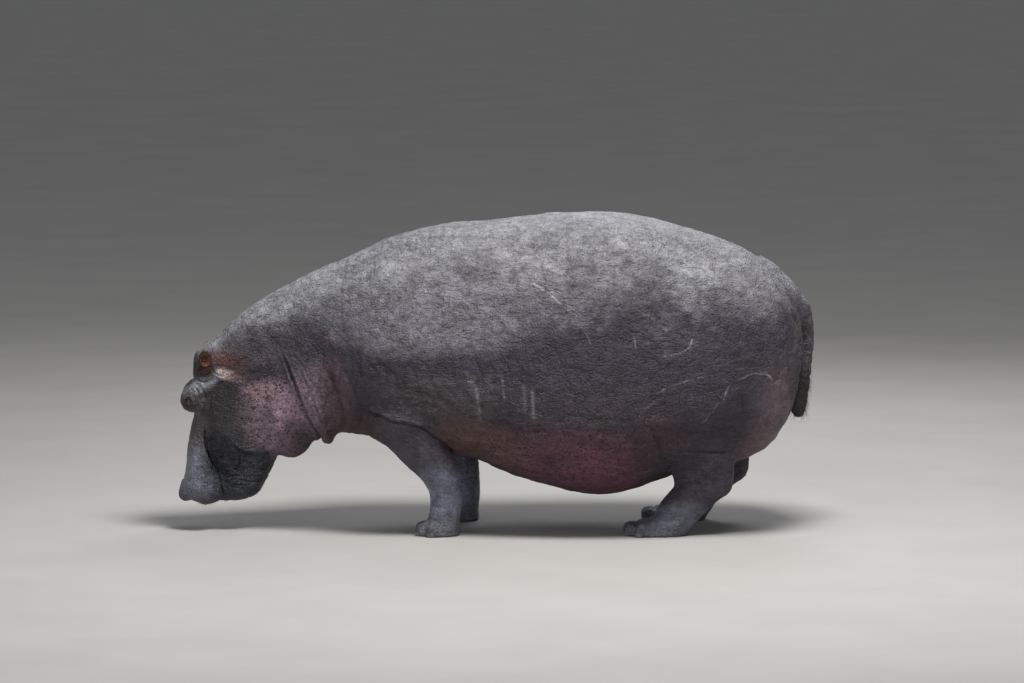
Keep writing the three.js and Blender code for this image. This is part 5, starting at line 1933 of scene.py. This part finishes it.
@dataclass(frozen=True)
class Skin:
    """The one skin that covers every solid of flesh."""

    flesh: Flesh = Flesh()
    creases: Creases = Creases()
    markings: Markings = Markings()
    eye: Eye = Eye()
    nostril: Nostril = Nostril()
    netting: Netting = Netting(Flesh())
    head_share: float = 1.0
    head_before: Spot = (0.8, 1.05)
    face_middle: float = 0.38
    fine_before: float = -1.0
    fold_margin: float = 0.01
    eye_area: float = 0.055
    lid_area: float = 0.034
    ear_area: float = 0.065
    nostril_area: float = 0.05
    nostril_out: float = 0.135
    chart_angle: float = 1.15
    chart_gap: float = 0.0012
    lid_tone: Colour = (0.075, 0.05, 0.045)
    lid_share: float = 0.75
    rim_tone: Colour = (0.03, 0.016, 0.015)
    ear_tone: Colour = (0.29, 0.09, 0.046)
    ear_hollow_shade: Colour = (0.022, 0.01, 0.009)

    def charted(self, net: Net) -> Net:
        """Gives the net its bake map, with the head unwrapped larger than the rest."""
        share = self.head_share * smooth(-net.points[:, 0], *self.head_before)
        centre = self.flesh.head.place(self.face_middle, 0.0, 0.0)
        grown = net.points + share[:, None] * (net.points - centre)
        piece = mesh_piece("chart", grown, net.faces)
        bpy.ops.object.select_all(action="DESELECT")
        piece.select_set(True)
        bpy.context.view_layer.objects.active = piece
        piece.data.uv_layers.new(name=BAKE_MAP)
        bpy.ops.object.mode_set(mode="EDIT")
        bpy.ops.mesh.select_all(action="SELECT")
        bpy.ops.uv.smart_project(angle_limit=self.chart_angle, island_margin=self.chart_gap)
        bpy.ops.object.mode_set(mode="OBJECT")
        chart = np.empty(net.faces.size * 2, np.float32)
        piece.data.uv_layers[BAKE_MAP].data.foreach_get("uv", chart)
        mesh = piece.data
        bpy.data.objects.remove(piece)
        bpy.data.meshes.remove(mesh)
        return Net(net.points, net.faces, chart.reshape(len(net.faces), 4, 2).astype(float))

    def detailed(self, net: Net) -> Net:
        """Refines the net: all of it once, then the head, folds and scars, then eyes, ears and nostrils,
        then the lids.
        """
        net = net.triangles()
        net = net.split(np.ones(len(net.faces), bool))
        net.points, _ = self.flesh.settle(net.points, self.netting.cell * 0.5)
        centres = net.centres()
        chosen = centres[:, 0] < self.fine_before
        for route, width in self.creases.lines() + [(s.route, s.width) for s in self.markings.scars]:
            near, _, _ = route.measure(centres, 3.0 * width + self.fold_margin)
            chosen[near] = True
        net = net.split(chosen)
        features = (
            (self.eye.middle, self.eye_area),
            (self.flesh.ear.middle, self.ear_area),
            ((*self.nostril.middle, self.nostril_out), self.nostril_area),
        )
        for spots in (features, ((self.eye.middle, self.lid_area),)):
            face = self.flesh.head.face(net.centres())
            chosen = np.zeros(len(face), bool)
            for middle, reach in spots:
                chosen |= np.linalg.norm(face - np.array(middle), axis=1) < reach
            net = net.split(chosen)
        return net

    def build(self, nails: Sequence[Nail]) -> Piece:
        """Builds the skin with its relief and colours.

        Args:
            nails: The toenails that it closes round.

        Returns:
            The skin, dressed.
        """
        net = self.charted(self.netting.lay())
        log.info("net of %d faces laid and charted", len(net.faces))
        net = self.detailed(net)
        points, outward = self.flesh.settle(net.points, self.netting.cell * 0.3)
        log.info("net refined to %d faces", len(net.faces))
        relief = self.creases.carve(points)
        self.nostril.carve(self.flesh.head, relief)
        area = self.eye.ring(self.flesh.head, relief)
        for nail in nails:
            nail.swell(relief)
        colour, traits = self.markings.paint(relief, outward)
        shaped = points + relief.height[:, None] * outward
        shaped, rim = self.eye.wrap(shaped, self.flesh.head)
        area *= self.lid_share * (1.0 - relief.shade)
        colour += area[:, None] * (np.array(self.lid_tone) - colour)
        self.tint_face(points, rim, colour, traits)
        shaped[:, 2] = np.maximum(shaped[:, 2], 0.0)
        skin = mesh_piece("skin", shaped, net.faces)
        store_chart(skin, net.chart)
        store_colour(skin, "hide_colour", colour)
        store_colour(skin, "hide_traits", traits)
        flesh_nodes = [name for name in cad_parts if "nail" not in name and "eye" not in name]
        return dressed(skin, Hide(), "back_hide", *flesh_nodes)

    def tint_face(self, points: Array, rim: Array, colour: Array, traits: Array) -> None:
        """Colours the lids' rims and the inside of the ears, with painted shade deep in each ear's cup.

        Args:
            points: Places on the smooth skin.
            rim: How much of the lids' rim each has.
            colour: Colours, changed here.
            traits: Specks, dust with painted top light, and wetness, changed here.
        """
        colour += (0.85 * rim)[:, None] * (np.array(self.rim_tone) - colour)
        traits[:, 2] = np.maximum(traits[:, 2], rim)
        along, through, deep = self.flesh.ear.frame_of(*self.flesh.head.face(points).T)
        shift, size = self.flesh.ear.dish_shift, self.flesh.ear.dish_size
        dish = ellipsoid(along - shift[0], through - shift[1], deep - shift[2], size)
        inside = 1.0 - smooth(dish, -0.004, 0.009)
        patchy = 1.0 + 0.5 * WAVER.rough(points, (0.012, 0.012, 0.012))
        colour += inside[:, None] * (patchy[:, None] * np.array(self.ear_tone) - colour)
        # Painted shade at the bottom of the ear's cup.
        floor = 1.0 - smooth(np.hypot(along - shift[0], deep - shift[2]), 0.004, 0.022)
        colour += (inside * floor)[:, None] * (np.array(self.ear_hollow_shade) - colour)
        traits[:, 1] *= 1.0 - inside


# ---- Eyes, nails and bristles ----


@dataclass(frozen=True)
class Eyeball:
    """One eyeball with its clear bulge, brown iris and level pupil."""

    eye: Eye = Eye()
    bulge: float = 0.05
    bulge_angle: float = 0.7
    iris_angle: float = 0.64
    pupil: Spot = (0.26, 0.15)
    white: Colour = (0.04, 0.024, 0.02)
    iris: Colour = (0.045, 0.019, 0.009)
    ring: Colour = (0.012, 0.007, 0.006)

    def build(self, head: Head, side: Side) -> Piece:
        """Builds the eyeball of one side.

        Args:
            head: The head that it is in.
            side: Which side.

        Returns:
            The eyeball, dressed.
        """
        middle, gaze, along, up = self.eye.axes(head, side)
        points, faces = ball(self.eye.around, self.eye.rings)
        angle = np.arccos(np.clip(points[:, 2], -1.0, 1.0))
        swell = 1.0 + self.bulge * (1.0 - smooth(angle, 0.0, self.bulge_angle))
        shape = self.eye.radius * points * swell[:, None]
        placed = middle + shape[:, :1] * along + shape[:, 1:2] * up + shape[:, 2:] * gaze
        turn = np.arctan2(points[:, 1], points[:, 0])
        spokes = 0.75 + 0.25 * np.cos(19.0 * turn) * np.cos(7.0 * turn)
        colour = np.tile(np.array(self.white), (len(points), 1))
        inner = (1.0 - smooth(angle, self.iris_angle - 0.06, self.iris_angle))[:, None]
        colour += inner * (spokes[:, None] * np.array(self.iris) - colour)
        edge = bell(angle - self.iris_angle, 0.07)[:, None]
        colour += edge * (np.array(self.ring) - colour)
        oval = np.hypot(angle * np.cos(turn) / self.pupil[0], angle * np.sin(turn) / self.pupil[1])
        black = (1.0 - smooth(oval, 0.85, 1.1))[:, None]
        colour += black * (np.array((0.003, 0.003, 0.003)) - colour)
        name = f"eye_{side.name.lower()}"
        piece = mesh_piece(f"{name}_ball", placed, faces)
        store_colour(piece, "eye_colour", colour)
        return dressed(piece, EyeGloss(), "eye", name)


@dataclass(frozen=True)
class Bristles:
    """A patch of stiff hairs: how many, how long and thick, and how they lie."""

    name: str
    slot: str
    count: int
    length: Spot
    thick: float
    lie: Point
    lean: float
    seed: int
    rings: int = 5
    sides: int = 4
    patch: float = 0.003
    droop: float = 0.25

    def build(self, surface: "Surface", weight: Array) -> Piece:
        """Grows the hairs as closed solid spikes.

        Args:
            surface: The skin that they grow from.
            weight: How thickly they stand at each of its points.

        Returns:
            The hairs as one piece, dressed.
        """
        random = np.random.default_rng(self.seed)
        share = weight * surface.area
        roots = random.choice(len(weight), self.count, replace=False, p=share / share.sum())
        base, outward = surface.points[roots], surface.outward[roots]
        lie = np.array(self.lie) + random.normal(0.0, 0.35, (self.count, 3))
        lie -= outward * np.sum(lie * outward, axis=1, keepdims=True)
        lie /= np.linalg.norm(lie, axis=1, keepdims=True)
        way = outward * (1.0 - self.lean) + lie * self.lean
        way /= np.linalg.norm(way, axis=1, keepdims=True)
        across = np.cross(way, outward + 0.3 * lie)
        across /= np.linalg.norm(across, axis=1, keepdims=True)
        third = np.cross(way, across)
        length = random.uniform(*self.length, self.count)
        t = np.linspace(0.0, 1.0, self.rings + 1)
        bend = lie * 0.4 + np.array((0.0, 0.0, -self.droop))
        line = (base[:, None] - 0.0015 * outward[:, None]
                + (length[:, None] * t)[..., None] * way[:, None]
                + (length[:, None] * np.square(t))[..., None] * bend[:, None])
        radius = 0.5 * self.thick * (1.0 - 0.85 * t[:-1])
        spokes = 2.0 * np.pi * np.arange(self.sides) / self.sides
        ring = (np.cos(spokes)[:, None, None] * across + np.sin(spokes)[:, None, None] * third)
        ring = ring.transpose(1, 0, 2)[:, None] * radius[None, :, None, None]
        tube = (line[:, :-1, None] + ring).reshape(self.count, -1, 3)
        points = np.concatenate([tube, line[:, -1:], line[:, :1]], axis=1)
        faces = self.faces(points.shape[1])
        rows = (np.arange(self.count) * points.shape[1])[:, None, None] + faces
        piece = mesh_piece(self.name, points.reshape(-1, 3), rows.reshape(-1, 3))
        reach = np.concatenate([np.repeat(t[:-1], self.sides), [1.0, 0.0]])
        store_value(piece, "hair_reach", np.tile(reach, self.count))
        drift = self.patch * (reach[None, :, None] - 0.5) * np.array((0.6, 0.8))
        spot = surface.spot[roots][:, None] + drift
        spot[..., 0] += self.patch * 0.2 * np.tile(np.sin(np.arange(points.shape[1])), (self.count, 1))
        chart = spot[:, faces.ravel()].reshape(-1, 2)
        store_chart(piece, np.clip(chart, 0.001, 0.999))
        return dressed(piece, Bristle(), self.slot)

    def faces(self, size: int) -> Array:
        """The triangles of one hair of so many points."""
        rows = []
        for ring in range(self.rings - 1):
            for spoke in range(self.sides):
                a = ring * self.sides + spoke
                b = ring * self.sides + (spoke + 1) % self.sides
                rows += [(a, b, b + self.sides), (a, b + self.sides, a + self.sides)]
        last = (self.rings - 1) * self.sides
        for spoke in range(self.sides):
            after = (spoke + 1) % self.sides
            rows += [(last + spoke, last + after, size - 2), (after, spoke, size - 1)]
        return np.array(rows)


@dataclass
class Surface:
    """What grows on the skin needs of it: points, outward directions, areas and bake map places."""

    points: Array
    outward: Array
    area: Array
    spot: Array

    @classmethod
    def of(cls, skin: Piece) -> "Surface":
        """Reads the surface of the finished skin."""
        mesh = skin.data
        size, loops = len(mesh.vertices), len(mesh.loops)
        points = np.empty(size * 3, np.float32)
        mesh.vertices.foreach_get("co", points)
        outward = np.empty(size * 3, np.float32)
        mesh.vertices.foreach_get("normal", outward)
        corner = np.empty(loops, np.int32)
        mesh.loops.foreach_get("vertex_index", corner)
        chart = np.empty(loops * 2, np.float32)
        mesh.uv_layers[BAKE_MAP].data.foreach_get("uv", chart)
        points = points.reshape(-1, 3).astype(float)
        triangle = points[corner.reshape(-1, 3)]
        a, b, c = triangle.transpose(1, 0, 2)
        face = np.linalg.norm(np.cross(b - a, c - a), axis=1)
        area = np.bincount(corner, np.repeat(face / 6.0, 3), minlength=size)
        spot = np.zeros((size, 2))
        spot[corner] = chart.reshape(-1, 2)
        return cls(points, outward.reshape(-1, 3).astype(float), area, spot)


@dataclass(frozen=True)
class Coat:
    """The few hairs of the animal: on its lips and chin, round its ears, on its tail and its nape."""

    flesh: Flesh = Flesh()
    tufts: tuple[Bristles, ...] = (
        Bristles("lip_bristles", "lip_hide", 240, (0.007, 0.016), 0.001, (-0.2, 0.0, -1.0), 0.45, 101),
        Bristles("chin_bristles", "lip_hide", 90, (0.007, 0.015), 0.0009, (0.3, 0.0, -1.0), 0.5, 102),
        Bristles("ear_fringe", "ear_hide", 640, (0.009, 0.019), 0.0006, (-0.2, 0.0, 0.6), 0.5, 103),
        Bristles("tail_bristles", "tail_hide", 260, (0.018, 0.042), 0.001, (0.0, 0.0, -1.0), 0.65, 104),
        Bristles("nape_hairs", "neck_hide", 500, (0.008, 0.015), 0.0005, (1.0, 0.0, -0.2), 0.75, 105),
    )
    chin_before: float = -1.0
    ears_before: float = -1.3
    ear_thick: float = 0.035
    ear_clear: float = 1.3
    tail_half: float = 0.08

    def build(self, surface: Surface) -> list[Piece]:
        """Grows every patch of bristles on the skin."""
        x, _, z = surface.points.T
        down, side, out = self.flesh.head.face(surface.points).T
        lips = smooth(down, 0.6, 0.68) * (1.0 - smooth(out, 0.07, 0.12)) * smooth(out, -0.12, -0.09)
        chin = smooth(down, 0.62, 0.69) * (1.0 - smooth(out, -0.16, -0.13)) * (x < self.chin_before)
        along, through, deep = self.flesh.ear.frame_of(down, side, out)
        size = self.flesh.ear.size
        leaf = np.hypot(along / size[0], deep / size[2])
        rim = bell(leaf - 0.92, 0.16) * (np.abs(through) < self.ear_thick) * (x < self.ears_before)
        tail = smooth(x, 1.4, 1.42) * (1.0 - smooth(z, 0.56, 0.8)) * smooth(z, 0.5, 0.52)
        tail *= (side < self.tail_half) * smooth(np.abs(surface.outward[:, 0]), 0.45, 0.8)
        nape = smooth(-x, 0.75, 0.95) * smooth(surface.outward[:, 2], 0.3, 0.7) * smooth(z, 0.85, 0.95)
        nape *= 1.0 - (leaf < self.ear_clear) * (x < self.ears_before)
        weights = (lips, chin, rim, tail, nape)
        return [tuft.build(surface, weight) for tuft, weight in zip(self.tufts, weights)]


def toenails() -> list[Nail]:
    """Every toenail, turned as its toe points."""
    nails = []
    for pair, leg in (("fore", FORE_LEG), ("hind", HIND_LEG)):
        for side in Side:
            for number, (_, aside, _) in enumerate(leg.toes, start=1):
                turn = -math.atan2(side.value * aside, NAIL_FAN)
                nails.append(Nail(f"{pair}_nail_{side.name.lower()}_{number}", turn))
    return nails


# ---- Where it is shown ----


@dataclass(frozen=True)
class Lamp:
    """A square soft lamp: its name, place, aim, width, power in watts and colour."""

    name: str
    place: Point
    aim: Point
    size: float
    power: float
    tone: Colour

    def hang(self) -> None:
        """Hangs the lamp."""
        light = bpy.data.lights.new(self.name, "AREA")
        light.size, light.energy, light.color = self.size, self.power, self.tone
        lamp = bpy.data.objects.new(self.name, light)
        lamp.location = self.place
        lamp.rotation_euler = (Vector(self.aim) - Vector(self.place)).to_track_quat("-Z", "Y").to_euler()
        bpy.context.scene.collection.objects.link(lamp)


@dataclass(frozen=True)
class Studio:
    """A plain pale floor, soft light from above and a long lens at the animal's left side."""

    floor_size: float = 160.0
    sky: Colour = (0.8, 0.82, 0.85)
    sky_strength: float = 0.24
    target: Point = (0.0648, 0.0, 0.8977)
    distance: float = 35.0
    elevation: float = math.radians(6.0)
    view_width: float = 4.915
    sensor: float = 36.0
    lamps: tuple[Lamp, ...] = (
        Lamp("key_lamp", (1.2, -2.7, 7.5), (0.0, 0.0, 0.8), 2.6, 640.0, (1.0, 0.985, 0.96)),
        Lamp("fill_lamp", (-6.0, -9.0, 3.0), (0.0, 0.0, 0.7), 4.0, 170.0, (0.93, 0.96, 1.0)),
        Lamp("rim_lamp", (1.5, 5.5, 5.0), (0.3, 0.0, 0.9), 3.0, 130.0, (0.95, 0.97, 1.0)),
    )

    def floor(self) -> None:
        """Lays the floor."""
        half = self.floor_size / 2.0
        corners = np.array([(half * x, half * y, 0.0) for x, y in ((-1, -1), (1, -1), (1, 1), (-1, 1))])
        piece = mesh_piece("floor", corners, [(0, 1, 2, 3)])
        piece.data.materials.append(Plaster().material())

    def camera(self) -> None:
        """Sets up the camera."""
        data = bpy.data.cameras.new("camera")
        data.sensor_width = self.sensor
        data.lens = self.sensor * self.distance / self.view_width
        data.clip_end = 4.0 * self.distance
        camera = bpy.data.objects.new("camera", data)
        away = Vector((0.0, -math.cos(self.elevation), math.sin(self.elevation)))
        camera.location = Vector(self.target) + self.distance * away
        camera.rotation_euler = (-away).to_track_quat("-Z", "Y").to_euler()
        bpy.context.scene.collection.objects.link(camera)
        bpy.context.scene.camera = camera

    def build(self) -> None:
        """Sets up floor, lamps, sky and camera."""
        self.floor()
        for lamp in self.lamps:
            lamp.hang()
        world = bpy.data.worlds.new("sky")
        world.use_nodes = True
        background = world.node_tree.nodes["Background"]
        background.inputs["Color"].default_value = (*self.sky, 1.0)
        background.inputs["Strength"].default_value = self.sky_strength
        bpy.context.scene.world = world
        bpy.context.scene.view_settings.view_transform = "Standard"
        self.camera()


def main() -> None:
    """Builds the animal and its setting, piece by piece."""
    logging.basicConfig(level=logging.INFO, format="%(message)s")
    flesh = Flesh()
    nails = toenails()
    skin = Skin().build(nails)
    log.info("skin: %d points", len(skin.data.vertices))
    for side in Side:
        log.info("%s", Eyeball().build(flesh.head, side).name)
    for nail in nails:
        log.info("%s", nail.build(Horn()).name)
    for tuft in Coat().build(Surface.of(skin)):
        log.info("%s: %d faces", tuft.name, len(tuft.data.polygons))
    Studio().build()


if __name__ == "__main__":
    main()
